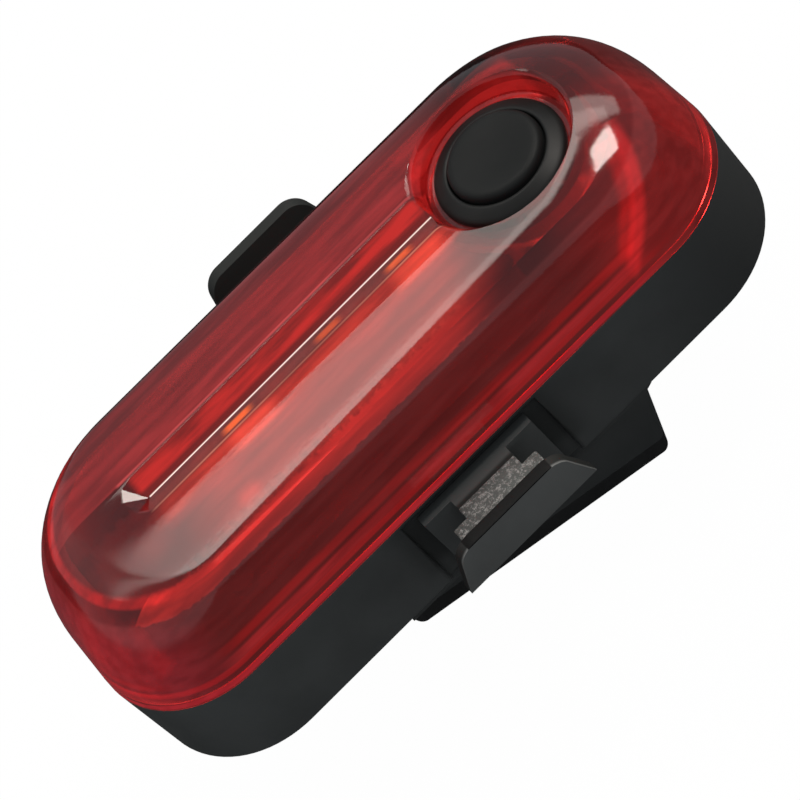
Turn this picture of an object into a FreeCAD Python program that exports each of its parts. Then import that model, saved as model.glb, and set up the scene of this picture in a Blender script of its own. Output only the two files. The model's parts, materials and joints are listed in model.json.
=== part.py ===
"""Bike tail light on its seat-post bracket, as a parametric assembly.

Units are millimetres. +X is the light's long axis, towards the button. +Z points out of the
lens. The origin lies on the bearing line of the seat-post saddle, under the light's middle.
"""
import FreeCAD
import Part
import math
import os
import Sketcher

Vector = FreeCAD.Vector

SIZES = {
    # Light body
    "body_length": 76.0,
    "body_width": 28.2,
    "end_corner": 11.2,
    "case_depth": 11.0,
    "case_wall": 3.0,
    "case_floor": 1.8,
    "case_edge_chamfer": 0.5,
    "rim_wall": 1.5,
    "rim_depth": 2.0,
    # Lens
    "lens_height": 11.4,
    "crown_rise": 0.8,
    "crown_inset": 2.0,
    "lens_wall": 2.4,
    "lens_roof": 2.4,
    "land_end_inset": 5.4,
    "end_draft": 1.2,
    "land_side_inset": 2.86,
    "land_corner": 11.1,
    "cavity_end_inset": 4.0,
    "cavity_side_inset": 1.9,
    "brow_angle": 75.0,
    "brow_count": 6.0,
    "skirt_depth": 1.2,
    "skirt_wall": 0.8,
    # Groove along the lens
    "groove_inset": 13.7,
    "groove_half": 2.54,
    "groove_depth": 1.2,
    "groove_hip": 2.0,
    # Button and its dish
    "button_inset": 16.6,
    "dish_radius": 8.4,
    "dish_depth": 2.75,
    "dish_floor_radius": 7.5,
    "boss_radius": 8.8,
    "boss_depth": 1.8,
    "ring_radius": 6.8,
    "ring_edge_height": 0.8,
    "ring_height": 1.25,
    "ring_edge_width": 0.4,
    "ring_edge_rise": 0.3,
    "ring_neck_radius": 5.6,
    "ring_flange_depth": 0.6,
    "ring_flange_radius": 7.2,
    "cap_radius": 4.9,
    "cap_height": 2.0,
    "cap_edge": 0.5,
    "cap_flange_height": 0.5,
    "cap_flange_radius": 5.8,
    "button_gap": 0.1,
    # Boards and what they carry
    "board_level": 0.6,
    "board_end_inset": 6.0,
    "board_side_inset": 5.1,
    "board_corner": 4.0,
    "board_thick": 1.2,
    "post_end_inset": 10.0,
    "post_side_inset": 2.4,
    "post_radius": 1.7,
    "post_pilot": 0.55,
    "screw_head": 1.4,
    "screw_head_height": 0.7,
    "screw_length": 3.2,
    "pilot_depth": 4.0,
    "screw_hole": 0.8,
    "led_count": 5.0,
    "led_end_inset": 6.4,
    "led_switch_gap": 2.6,
    "led_size": 3.0,
    "led_height": 0.9,
    "reflector_height": 2.8,
    "reflector_width": 10.0,
    "reflector_margin": 4.6,
    "window_mouth": 7.6,
    "window_base": 4.2,
    "diffuser_thick": 0.8,
    "diffuser_width": 9.4,
    "tooth_pitch": 1.5,
    "tooth_depth": 0.6,
    "switch_size": 6.0,
    "switch_height": 3.4,
    "plunger_radius": 1.7,
    "plunger_sink": 1.2,
    "plunger_gap": 0.05,
    "switch_bore_depth": 2.0,
    "chip_height": 0.9,
    "chip_row": 3.6,
    "battery_length": 30.0,
    "battery_width": 19.0,
    "battery_height": 6.0,
    "battery_round": 1.0,
    "pad_height": 0.8,
    "pad_margin": 1.0,
    "tab_width": 1.5,
    "tab_thick": 0.3,
    "tab_side": 3.0,
    # Charging port at the -X end
    "port_drop": 4.6,
    "shell_width": 7.5,
    "shell_height": 2.7,
    "shell_length": 6.0,
    "shell_wall": 0.3,
    "shell_setback": 0.4,
    "tongue_width": 5.4,
    "tongue_thick": 0.6,
    "tongue_setback": 0.8,
    "port_play": 0.3,
    "charger_length": 10.0,
    "charger_width": 10.0,
    "charger_thick": 1.0,
    "rail_inset": 1.0,
    "rail_width": 1.2,
    "pin_count": 4.0,
    "pin_pitch": 2.0,
    "pin_width": 0.6,
    "pin_setback": 1.0,
    "cover_width": 11.2,
    "cover_height": 7.2,
    "cover_thick": 1.5,
    "cover_gap": 0.1,
    "cover_lift": 3.2,
    "plug_width": 6.4,
    "plug_height": 1.8,
    "plug_depth": 0.7,
    # Bracket
    "saddle_radius": 16.0,
    "saddle_tilt": 14.4,
    "foot_height": 10.3,
    "foot_width": 15.4,
    "foot_length": 30.4,
    "foot_shift": 0.8,
    "foot_corner": 1.1,
    "pad_thick": 1.6,
    "plate_thick": 2.2,
    "plate_width": 24.4,
    "plate_back": 14.0,
    "plate_front": 18.6,
    "ear_length": 14.4,
    "ear_play": 0.05,
    # Latch arms
    "recess_width": 17.0,
    "recess_depth": 1.0,
    "recess_top": 0.4,
    "recess_slope": 1.2,
    "arm_width": 13.6,
    "arm_thick": 1.4,
    "arm_gap": 0.1,
    "bead_radius": 0.8,
    "bead_gap": 0.05,
    "bead_inset": 0.2,
    "catch_drop": 6.2,
    "catch_height": 1.4,
    "catch_width": 6.0,
    "catch_reach": 0.6,
    "catch_play": 0.2,
    "shelf_drop": 1.9,
    "shelf_thick": 1.1,
    "shelf_width": 7.0,
    "lip_reach": 23.9,
    "lip_lean": 2.0,
    "lip_thick": 1.3,
    "lip_rise": 2.6,
    "lip_drop": 4.6,
    "lip_top_width": 12.2,
    "lip_foot_width": 15.8,
    "lip_corner": 2.4,
    "gusset_thick": 2.0,
    "gusset_slope": 0.6,
    "grip_start": 16.6,
    "grip_step": 18.0,
    "grip_width": 10.4,
    "grip_height": 0.6,
    "grip_block_height": 0.9,
}


class Formula:
    """A size held both as a number and as the sheet expression that gives it."""

    def __init__(self, text, value):
        self.text = text
        self.value = value

    @staticmethod
    def of(item):
        return item if isinstance(item, Formula) else Formula(f"{item:.6g}", float(item))

    def _join(self, sign, other, value):
        return Formula(f"({self.text} {sign} {other.text})", value)

    def __add__(self, other):
        other = Formula.of(other)
        return self._join("+", other, self.value + other.value)

    def __sub__(self, other):
        other = Formula.of(other)
        return self._join("-", other, self.value - other.value)

    def __mul__(self, other):
        other = Formula.of(other)
        return self._join("*", other, self.value * other.value)

    def __truediv__(self, other):
        other = Formula.of(other)
        return self._join("/", other, self.value / other.value)

    def __neg__(self):
        return Formula(f"(-1 * {self.text})", -self.value)

    def __radd__(self, other):
        return Formula.of(other) + self

    def __rsub__(self, other):
        return Formula.of(other) - self

    def __rmul__(self, other):
        return Formula.of(other) * self


def sine(angle):
    """Sine of an angle in degrees."""
    return Formula(f"sin({angle.text})", math.sin(math.radians(angle.value)))


def cosine(angle):
    """Cosine of an angle in degrees."""
    return Formula(f"cos({angle.text})", math.cos(math.radians(angle.value)))


def root(item):
    """Square root of a formula."""
    return Formula(f"sqrt({item.text})", math.sqrt(item.value))


class Sheet:
    """The driving sizes, read as attributes that are formulas."""

    def __init__(self, doc, sizes):
        self._values = dict(sizes)
        cells = doc.addObject("Spreadsheet::Sheet", "Sizes")
        for row, (name, value) in enumerate(sizes.items(), start=1):
            cells.set(f"A{row}", str(value))
            cells.setAlias(f"A{row}", name)

    def __getattr__(self, name):
        return Formula(f"Sizes.{name}", self._values[name])


doc = FreeCAD.newDocument("TailLight")
size = Sheet(doc, SIZES)
doc.recompute()

# A sketch's origin, and the axis on which a point has no distance of each kind
ORIGIN_POINT = (-1, 1)
AXIS_EDGES = {"DistanceX": -2, "DistanceY": -1}
ZERO = Formula("0", 0.0)
# Place along the board, row, length and width of each part under it
CHIPS = ((-12.0, -1, 5.0, 4.0), (-3.0, 1, 3.0, 2.4), (6.0, -1, 4.0, 3.2), (7.5, 1, 2.4, 1.4))
nodes = []


def bind(item, **formulas):
    """Bind properties of an object to formulas."""
    for name, formula in formulas.items():
        item.setExpression(name, Formula.of(formula).text)


def place(item, x=0.0, y=0.0, z=0.0, prefix="Placement"):
    """Bind an object's position to formulas."""
    for axis, formula in (("x", x), ("y", y), ("z", z)):
        item.setExpression(f"{prefix}.Base.{axis}", Formula.of(formula).text)


def node(item, name):
    """Name a sub-part and list it for export."""
    item.Label = name
    nodes.append(item)
    return item


def body(name):
    """A new body that is one sub-part."""
    return node(doc.addObject("PartDesign::Body", name), name)


def plane(owner, role):
    """One of a body's own origin planes."""
    return next(item for item in owner.Origin.OriginFeatures if item.Role == role)


def sketch(owner, name, role="XY_Plane", offset=ZERO):
    """An empty sketch on a body's origin plane, moved along the plane's normal."""
    item = owner.newObject("Sketcher::SketchObject", name)
    item.AttachmentSupport = [(plane(owner, role), "")]
    item.MapMode = "FlatFace"
    place(item, z=offset, prefix="AttachmentOffset")
    return item


def locate(item, edge, point, x, y):
    """Fix one point of a sketch at formulas measured from its origin."""
    for kind, formula in (("DistanceX", x), ("DistanceY", y)):
        formula = Formula.of(formula)
        if abs(formula.value) < 1e-9:
            item.addConstraint(Sketcher.Constraint("PointOnObject", edge, point, AXIS_EDGES[kind]))
            continue
        index = item.addConstraint(Sketcher.Constraint(kind, *ORIGIN_POINT, edge, point, formula.value))
        item.setExpression(f"Constraints[{index}]", formula.text)


def polygon(item, points):
    """Draw a closed outline of straight lines through (x, y) formulas."""
    points = [(Formula.of(x), Formula.of(y)) for x, y in points]
    corners = [Vector(x.value, y.value, 0) for x, y in points]
    first = item.GeometryCount
    count = len(corners)
    for index, corner in enumerate(corners):
        item.addGeometry(Part.LineSegment(corner, corners[(index + 1) % count]))
    for index in range(count):
        following = first + (index + 1) % count
        item.addConstraint(Sketcher.Constraint("Coincident", first + index, 2, following, 1))
    for index, (x, y) in enumerate(points):
        locate(item, first + index, 1, x, y)
    return item


def rectangle(item, low_x, high_x, low_y, high_y):
    """Draw a rectangle between four formulas."""
    return polygon(item, [(low_x, low_y), (high_x, low_y), (high_x, high_y), (low_x, high_y)])


def circle(item, x, y, radius):
    """Draw a circle at formulas."""
    x, y, radius = Formula.of(x), Formula.of(y), Formula.of(radius)
    edge = item.addGeometry(Part.Circle(Vector(x.value, y.value, 0), Vector(0, 0, 1), radius.value))
    index = item.addConstraint(Sketcher.Constraint("Radius", edge, radius.value))
    item.setExpression(f"Constraints[{index}]", radius.text)
    locate(item, edge, 3, x, y)
    return item


def rounded_rectangle(item, length, width, corner):
    """Draw a rectangle with equal round corners, centred on the sketch's origin."""
    length, width, corner = Formula.of(length), Formula.of(width), Formula.of(corner)
    half_x, half_y, turn = length.value / 2, width.value / 2, corner.value
    inner_x, inner_y = half_x - turn, half_y - turn
    first = item.GeometryCount
    sides = (
        ((-inner_x, half_y), (inner_x, half_y)),
        ((half_x, inner_y), (half_x, -inner_y)),
        ((inner_x, -half_y), (-inner_x, -half_y)),
        ((-half_x, -inner_y), (-half_x, inner_y)),
    )
    centres = ((inner_x, inner_y), (inner_x, -inner_y), (-inner_x, -inner_y), (-inner_x, inner_y))
    for start, end in sides:
        item.addGeometry(Part.LineSegment(Vector(*start, 0), Vector(*end, 0)))
    for quarter, centre in enumerate(centres):
        start_angle = math.radians(-90 * quarter)
        round_part = Part.Circle(Vector(*centre, 0), Vector(0, 0, 1), turn)
        item.addGeometry(Part.ArcOfCircle(round_part, start_angle, start_angle + math.pi / 2))
    for quarter in range(4):
        side, following, arc = first + quarter, first + (quarter + 1) % 4, first + 4 + quarter
        item.addConstraint(Sketcher.Constraint("Tangent", side, 2, arc, 2))
        item.addConstraint(Sketcher.Constraint("Tangent", arc, 1, following, 1))
        level = "Horizontal" if quarter % 2 == 0 else "Vertical"
        item.addConstraint(Sketcher.Constraint(level, side))
        if quarter:
            item.addConstraint(Sketcher.Constraint("Equal", first + 4, arc))
    item.addConstraint(Sketcher.Constraint("Symmetric", first, 1, first + 2, 1, *ORIGIN_POINT))
    named = (
        (Sketcher.Constraint("Radius", first + 4, turn), corner),
        (Sketcher.Constraint("DistanceX", first + 3, 1, first + 1, 1, length.value), length),
        (Sketcher.Constraint("DistanceY", first + 2, 1, first, 1, width.value), width),
    )
    for constraint, formula in named:
        index = item.addConstraint(constraint)
        item.setExpression(f"Constraints[{index}]", formula.text)
    return item


def outline(owner, name, height, end_inset, side_inset):
    """The light's plan outline at a height over the parting plane, drawn in by two insets."""
    return rounded_rectangle(
        sketch(owner, name, offset=parting + height),
        size.body_length - 2 * end_inset,
        size.body_width - 2 * side_inset,
        size.end_corner - side_inset,
    )


def pad(owner, name, profile, length, reverse=False, symmetric=False):
    """Add material over a sketch."""
    item = owner.newObject("PartDesign::Pad", name)
    item.Profile = profile
    item.Reversed = reverse
    item.SideType = "Symmetric" if symmetric else "One side"
    bind(item, Length=length)
    doc.recompute()
    return item


def pocket(owner, name, profile, length, reverse=False, symmetric=False):
    """Cut a sketch out of the body, and check that the cut took something away."""
    before = owner.Shape.Volume
    item = owner.newObject("PartDesign::Pocket", name)
    item.Profile = profile
    item.Reversed = reverse
    item.SideType = "Symmetric" if symmetric else "One side"
    bind(item, Length=length)
    doc.recompute()
    if owner.Shape.Volume >= before:
        raise ValueError(f"{owner.Label}: {name} cuts nothing")
    return item


def dress_edges(owner, kind, name, chosen, **cells):
    """Fillet or chamfer the edges of the body that a test picks out."""
    base = owner.Tip
    picked = [f"Edge{n}" for n, edge in enumerate(base.Shape.Edges, start=1) if chosen(edge)]
    item = owner.newObject(f"PartDesign::{kind}", name)
    item.Base = (base, picked)
    bind(item, **cells)
    doc.recompute()
    return item


def round_edges(owner, name, radius, chosen):
    """Round the edges of the body that a test picks out."""
    return dress_edges(owner, "Fillet", name, chosen, Radius=radius)


def block(name, low, high):
    """A box between two corners given as formulas."""
    item = doc.addObject("Part::Box", name)
    low = [Formula.of(value) for value in low]
    high = [Formula.of(value) for value in high]
    bind(item, Length=high[0] - low[0], Width=high[1] - low[1], Height=high[2] - low[2])
    place(item, *low)
    return item


def rod(name, x, y, low, high, radius):
    """An upright cylinder between two heights."""
    item = doc.addObject("Part::Cylinder", name)
    bind(item, Radius=radius, Height=Formula.of(high) - low)
    place(item, x, y, low)
    return item


def fuse(name, parts):
    """Parts made one."""
    item = doc.addObject("Part::MultiFuse", name)
    item.Shapes = parts
    return item


def group(name, parts):
    """Parts that stay separate solids of one node."""
    item = doc.addObject("Part::Compound", name)
    item.Links = parts
    return item


def cut(name, base, tool):
    """One part less another."""
    item = doc.addObject("Part::Cut", name)
    item.Base = base
    item.Tool = tool
    return item


def common(name, parts):
    """What parts share."""
    item = doc.addObject("Part::MultiCommon", name)
    item.Shapes = parts
    return item


def near(value, target):
    """Whether two lengths agree."""
    return abs(value - target) < 1e-3


# Heights shared by several pieces
case_back = size.foot_height
parting = size.foot_height + size.case_depth
lens_top = parting + size.lens_height + size.crown_rise
floor_top = case_back + size.case_floor
board_base = parting + size.board_level
board_top = board_base + size.board_thick
dish_floor = lens_top - size.dish_depth
boss_foot = dish_floor - size.boss_depth
ring_foot = boss_foot - size.ring_flange_depth
cap_foot = ring_foot - size.button_gap - size.cap_flange_height
half_width = size.body_width / 2
half_length = size.body_length / 2
button_place = half_length - size.button_inset
groove_reach = half_length - size.groove_inset
board_length = size.body_length - 2 * size.board_end_inset
board_width = size.body_width - 2 * size.board_side_inset
post_reach = board_length / 2 - size.post_end_inset
post_side = board_width / 2 - size.post_side_inset
led_first = size.led_end_inset - board_length / 2
led_last = button_place - size.switch_size / 2 - size.led_switch_gap - size.reflector_margin
recess_face = half_width - size.recess_depth
bead_place = recess_face - size.bead_inset
port_z = parting - size.port_drop
shell_back = size.cover_thick + size.shell_setback - half_length
charger_back = size.case_wall + size.port_play - half_length
charger_base = port_z - size.shell_height / 2 - size.charger_thick
cover_top = port_z + size.cover_lift
cover_axis_z = cover_top - size.cover_height
bead_z = case_back - size.plate_thick / 2


def build_rear_case():
    """Moulded tub with a rim for the seal, side recesses, board posts and a charging port."""
    case = body("rear_case")
    pad(case, "Shell", outline(case, "Plan", 0, ZERO, ZERO), size.case_depth, reverse=True)
    back = case_back.value
    dress_edges(
        case,
        "Chamfer",
        "BackEdge",
        lambda edge: near(edge.BoundBox.ZMax, back),
        Size=size.case_edge_chamfer,
    )
    hollow = outline(case, "Hollow", 0, size.case_wall, size.case_wall)
    pocket(case, "Cavity", hollow, size.case_depth - size.case_floor)
    rim = outline(case, "Rim", 0, size.rim_wall, size.rim_wall)
    pocket(case, "RimStep", rim, size.rim_depth)
    recess = sketch(case, "Recess", "YZ_Plane")
    recess_lip = parting - size.recess_top
    for side in (-1, 1):
        polygon(
            recess,
            [
                (side * recess_face, case_back),
                (side * recess_face, recess_lip - size.recess_slope),
                (side * half_width, recess_lip),
                (side * half_width, case_back),
            ],
        )
    pocket(case, "SideRecess", recess, size.recess_width, symmetric=True)
    catch = sketch(case, "Catch", offset=parting - size.catch_drop + size.catch_height / 2 + size.catch_play)
    half_catch = size.catch_width / 2 + size.catch_play
    catch_floor = recess_face - size.catch_reach - size.catch_play
    for low, high in ((-recess_face, -catch_floor), (catch_floor, recess_face)):
        rectangle(catch, -half_catch, half_catch, low, high)
    pocket(case, "CatchSlot", catch, size.catch_height + 2 * size.catch_play)
    posts = sketch(case, "Posts", offset=floor_top)
    pilots = sketch(case, "Pilots", offset=board_base)
    for x in (-post_reach, post_reach):
        for y in (-post_side, post_side):
            circle(posts, x, y, size.post_radius)
            circle(pilots, x, y, size.post_pilot)
    pad(case, "BoardPosts", posts, board_base - floor_top)
    pocket(case, "PilotHoles", pilots, size.pilot_depth)
    rests = sketch(case, "ChargerRests", offset=floor_top)
    rail_back = charger_back + size.rail_inset
    rail_front = charger_back + size.charger_length - size.rail_inset
    for side in (-1, 1):
        centre = side * (size.charger_width / 2 - size.rail_inset)
        rectangle(rests, rail_back, rail_front, centre - size.rail_width / 2, centre + size.rail_width / 2)
    pad(case, "ChargerRails", rests, charger_base - floor_top)
    end_plane = -half_length
    seat = sketch(case, "CoverSeat", "YZ_Plane", offset=end_plane)
    half_cover = size.cover_width / 2 + size.cover_gap
    rectangle(seat, -half_cover, half_cover, cover_axis_z - size.cover_thick / 2 - size.cover_gap, cover_top)
    pocket(case, "CoverRecess", seat, size.cover_thick + size.cover_gap, reverse=True)
    mouth = sketch(case, "PortMouth", "YZ_Plane", offset=end_plane)
    half_mouth = size.shell_width / 2 + size.port_play
    mouth_rise = size.shell_height / 2 + size.port_play
    rectangle(mouth, -half_mouth, half_mouth, port_z - mouth_rise, port_z + mouth_rise)
    pocket(case, "PortHole", mouth, 2 * size.case_wall, reverse=True)
    return case


def brow_ring(owner, name, level, wall, end_inset, side_inset, corner):
    """Plan outline of the lens at a height over the parting plane, inside a wall and two insets."""
    return rounded_rectangle(
        sketch(owner, name, offset=parting + level),
        size.body_length - 2 * (wall + end_inset),
        size.body_width - 2 * (wall + side_inset),
        corner,
    )


def brow_loft(owner, kind, name, wall, height, end_inset, side_inset):
    """Loft from the parting plane up to a height, drawn in along a quarter of an ellipse."""
    rings = []
    count = int(size.brow_count.value)
    for station in range(count + 1):
        angle = size.brow_angle * station / count
        rise = height * sine(angle) / sine(size.brow_angle)
        share = (1 - cosine(angle)) / (1 - cosine(size.brow_angle))
        corner = size.end_corner - wall + (size.land_corner - size.end_corner) * share
        title = f"{name}Ring{station}"
        end = (end_inset - size.end_draft) * share + size.end_draft * rise / height
        rings.append(brow_ring(owner, title, rise, wall, end, side_inset * share, corner))
    return loft(owner, kind, name, rings)


def loft(owner, kind, name, rings):
    """Loft with straight walls through a list of outlines."""
    item = owner.newObject(kind, name)
    item.Profile = rings[0]
    item.Sections = rings[1:]
    item.Ruled = True
    doc.recompute()
    return item


def build_crown(lens):
    """Low crown on the lens: an arc across the light, running out towards both ends."""
    end_inset, side_inset, corner = size.land_end_inset, size.land_side_inset, size.land_corner
    low = brow_ring(lens, "CrownFoot", size.lens_height, 0, end_inset, side_inset, corner)
    end_inset, side_inset = end_inset + size.crown_inset, side_inset + size.crown_inset
    corner = corner - size.crown_inset
    high = brow_ring(lens, "CrownTop", size.lens_height + size.crown_rise, 0, end_inset, side_inset, corner)
    loft(lens, "PartDesign::AdditiveLoft", "Crown", [low, high])
    half_land = size.body_width / 2 - size.land_side_inset
    radius = (half_land * half_land + size.crown_rise * size.crown_rise) / (2 * size.crown_rise)
    shave = sketch(lens, "CrownArc", "YZ_Plane")
    circle(shave, 0, lens_top - radius, radius)
    circle(shave, 0, lens_top - radius, radius + size.lens_roof)
    pocket(lens, "CrownShave", shave, size.body_length, symmetric=True)


def build_lens():
    """Hollow red lens with rounded ends, a light groove and a dish with a boss for the button."""
    lens = body("lens")
    insets = (size.land_end_inset, size.land_side_inset)
    brow_loft(lens, "PartDesign::AdditiveLoft", "Shell", ZERO, size.lens_height, *insets)
    build_crown(lens)
    roof = size.lens_height - size.lens_roof
    insets = (size.cavity_end_inset, size.cavity_side_inset)
    brow_loft(lens, "PartDesign::SubtractiveLoft", "Cavity", size.lens_wall, roof, *insets)
    boss = circle(sketch(lens, "BossRing", offset=boss_foot), button_place, 0, size.boss_radius)
    pad(lens, "Boss", boss, size.boss_depth + size.dish_depth - size.crown_rise - size.lens_roof / 2)
    dish = lens.newObject("PartDesign::SubtractiveCone", "Dish")
    dish.AttachmentSupport = [(plane(lens, "XY_Plane"), "")]
    dish.MapMode = "FlatFace"
    bind(dish, Radius1=size.dish_floor_radius, Radius2=size.dish_radius, Height=size.dish_depth)
    place(dish, x=button_place, z=dish_floor, prefix="AttachmentOffset")
    doc.recompute()
    hole = circle(sketch(lens, "ButtonHole", offset=dish_floor), button_place, 0, size.ring_neck_radius)
    pocket(lens, "ButtonBore", hole, size.boss_depth)
    groove = lens.newObject("PartDesign::SubtractiveWedge", "Groove")
    groove.AttachmentSupport = [(plane(lens, "XY_Plane"), "")]
    groove.MapMode = "FlatFace"
    bind(groove, Xmin=-groove_reach, Xmax=button_place - size.dish_floor_radius)
    bind(groove, X2min=size.groove_hip - groove_reach, X2max=button_place - size.dish_floor_radius)
    bind(groove, Ymin=ZERO, Ymax=size.groove_depth, Zmin=-size.groove_half, Zmax=size.groove_half)
    groove.Z2min = 0
    groove.Z2max = 0
    groove.AttachmentOffset = FreeCAD.Placement(Vector(), FreeCAD.Rotation(Vector(1, 0, 0), -90))
    place(groove, z=lens_top, prefix="AttachmentOffset")
    doc.recompute()
    pad(lens, "Skirt", wall_ring(lens, ZERO), size.skirt_depth, reverse=True)
    return lens


def wall_ring(owner, level):
    """Two outlines, one in the other, that the lens's skirt and its seal share."""
    outer = size.lens_wall - size.skirt_wall
    ring = outline(owner, "WallRing", level, outer, outer)
    length, width = size.body_length - 2 * size.lens_wall, size.body_width - 2 * size.lens_wall
    return rounded_rectangle(ring, length, width, size.end_corner - size.lens_wall)


def build_seal_ring():
    """Rubber ring on the case's rim step, under the lens's skirt."""
    seal = body("seal_ring")
    pad(seal, "Seal", wall_ring(seal, -size.skirt_depth), size.rim_depth - size.skirt_depth, reverse=True)
    return seal


def build_boards():
    """Main board on the case's posts, with its screws and the parts under it."""
    board = body("led_board")
    plan = sketch(board, "Plan", offset=board_base)
    rounded_rectangle(plan, board_length, board_width, size.board_corner)
    pad(board, "Plate", plan, size.board_thick)
    holes = sketch(board, "Holes", offset=board_top)
    shanks = []
    heads = []
    for end, x in enumerate((-post_reach, post_reach)):
        for side, y in enumerate((-post_side, post_side)):
            circle(holes, x, y, size.screw_hole)
            tail = board_base - size.screw_length
            head_top = board_top + size.screw_head_height
            shanks.append(rod(f"Shank{end}{side}", x, y, tail, board_top, size.post_pilot))
            heads.append(rod(f"Head{end}{side}", x, y, board_top, head_top, size.screw_head))
    pocket(board, "ScrewHoles", holes, size.board_thick)
    screws = [fuse(f"BoardScrew{n}", [shank, head]) for n, (shank, head) in enumerate(zip(shanks, heads))]
    node(group("board_screws", screws), "board_screws")
    chips = []
    for number, (x, row, length, width) in enumerate(CHIPS):
        y = row * size.chip_row
        low = (x - length / 2, y - width / 2, board_base - size.chip_height)
        high = (x + length / 2, y + width / 2, board_base)
        chips.append(block(f"Chip{number}", low, high))
    node(group("board_parts", chips), "board_parts")


def led_places():
    """X of each light-emitting diode along the board."""
    gaps = int(size.led_count.value) - 1
    return [led_first + (led_last - led_first) * index / gaps for index in range(gaps + 1)]


def build_optics():
    """Diodes, the reflector tray round them and the toothed diffuser over it."""
    half = size.led_size / 2
    chips = []
    for number, x in enumerate(led_places()):
        led_top = board_top + size.led_height
        chips.append(block(f"Led{number}", (x - half, -half, board_top), (x + half, half, led_top)))
    node(group("leds", chips), "leds")
    tray_low = led_places()[0] - size.reflector_margin
    tray_high = led_places()[-1] + size.reflector_margin
    tray_top = board_top + size.reflector_height
    half_tray = size.reflector_width / 2
    tray = block("Tray", (tray_low, -half_tray, board_top), (tray_high, half_tray, tray_top))
    funnels = []
    for number, x in enumerate(led_places()):
        funnel = doc.addObject("Part::Wedge", f"Funnel{number}")
        wide, narrow = size.window_mouth / 2, size.window_base / 2
        bind(funnel, Xmin=-wide, Xmax=wide, Zmin=-wide, Zmax=wide, Ymin=ZERO, Ymax=size.reflector_height)
        bind(funnel, X2min=-narrow, X2max=narrow, Z2min=-narrow, Z2max=narrow)
        funnel.Placement.Rotation = FreeCAD.Rotation(Vector(1, 0, 0), -90)
        place(funnel, x, 0, tray_top)
        funnels.append(funnel)
    node(cut("reflector", tray, fuse("Funnels", funnels)), "reflector")
    sheet_top = tray_top + size.diffuser_thick
    half_sheet = size.diffuser_width / 2
    sheet = block("DiffuserSheet", (tray_low, -half_sheet, tray_top), (tray_high, half_sheet, sheet_top))
    teeth = []
    span = tray_high.value - tray_low.value
    for number in range(int(span / size.tooth_pitch.value)):
        for side in (-1, 1):
            start = tray_low + (number + 0.25) * size.tooth_pitch
            edge = sorted_pair(side * half_sheet, side * (half_sheet - size.tooth_depth))
            low = (start, edge[0], tray_top)
            high = (start + size.tooth_pitch / 2, edge[1], sheet_top)
            teeth.append(block(f"Notch{number}Side{side + 1}", low, high))
    node(cut("diffuser", sheet, fuse("Notches", teeth)), "diffuser")


def build_switch():
    """Push switch under the button: a housing with a blind bore and its plunger."""
    x = button_place
    half = size.switch_size / 2
    housing_top = board_top + size.switch_height
    bore_floor = housing_top - size.switch_bore_depth
    housing = block("SwitchHousing", (x - half, -half, board_top), (x + half, half, housing_top))
    bore = rod("SwitchBore", x, 0, bore_floor, housing_top, size.plunger_radius + size.plunger_gap)
    node(cut("switch_body", housing, bore), "switch_body")
    foot = housing_top - size.plunger_sink
    plunger = rod("switch_plunger", x, 0, foot, cap_foot - size.button_gap, size.plunger_radius)
    node(plunger, "switch_plunger")


def build_button():
    """Rubber ring that grips the lens, and the cap that slides in it."""
    x = button_place
    ring = body("button_ring")
    bore = size.cap_radius + size.button_gap
    edge_top = dish_floor + size.ring_edge_height
    profile = sketch(ring, "Profile", "XZ_Plane")
    polygon(
        profile,
        [
            (x + bore, ring_foot),
            (x + size.ring_flange_radius, ring_foot),
            (x + size.ring_flange_radius, boss_foot),
            (x + size.ring_neck_radius, boss_foot),
            (x + size.ring_neck_radius, dish_floor),
            (x + size.ring_radius, dish_floor),
            (x + size.ring_radius, edge_top),
            (x + size.ring_radius - size.ring_edge_width, edge_top + size.ring_edge_rise),
            (x + bore, dish_floor + size.ring_height),
        ],
    )
    spin(ring, profile, x)
    cap = body("button_cap")
    cap_top = dish_floor + size.cap_height
    crown = sketch(cap, "Profile", "XZ_Plane")
    polygon(
        crown,
        [
            (x, cap_foot),
            (x + size.cap_flange_radius, cap_foot),
            (x + size.cap_flange_radius, cap_foot + size.cap_flange_height),
            (x + size.cap_radius, cap_foot + size.cap_flange_height),
            (x + size.cap_radius, cap_top - size.cap_edge),
            (x + size.cap_radius - size.cap_edge, cap_top),
            (x, cap_top),
        ],
    )
    spin(cap, crown, x)


def spin(owner, profile, x):
    """Turn a profile round the button's upright axis."""
    axis = profile.addGeometry(Part.LineSegment(Vector(x.value, 0, 0), Vector(x.value, 1, 0)), True)
    locate(profile, axis, 1, x, 0)
    locate(profile, axis, 2, x, 1)
    item = owner.newObject("PartDesign::Revolution", "Turned")
    item.Profile = profile
    item.ReferenceAxis = (profile, ["Axis0"])
    item.Angle = 360
    doc.recompute()
    return item


def build_battery():
    """Flat cell on a foam pad, with two tabs up to the main board."""
    half_x, half_y = size.battery_length / 2, size.battery_width / 2
    pad_top = floor_top + size.pad_height
    cell_top = pad_top + size.battery_height
    pad_x, pad_y = half_x - size.pad_margin, half_y - size.pad_margin
    pad_block = block("battery_pad", (-pad_x, -pad_y, floor_top), (pad_x, pad_y, pad_top))
    node(pad_block, "battery_pad")
    cell = body("battery")
    plan = rectangle(sketch(cell, "Plan", offset=pad_top), -half_x, half_x, -half_y, half_y)
    pad(cell, "Cell", plan, size.battery_height)
    width = size.battery_width.value
    round_edges(cell, "Rounding", size.battery_round, lambda edge: near(edge.BoundBox.YLength, width))
    tabs = []
    for side in (-1, 1):
        y = side * size.tab_side
        start = half_x - size.battery_round - size.tab_width
        low = (start, y - size.tab_width / 2, cell_top)
        high = (start + size.tab_thick, y + size.tab_width / 2, board_base)
        tabs.append(block(f"Tab{side + 1}", low, high))
    node(group("battery_tabs", tabs), "battery_tabs")


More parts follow.
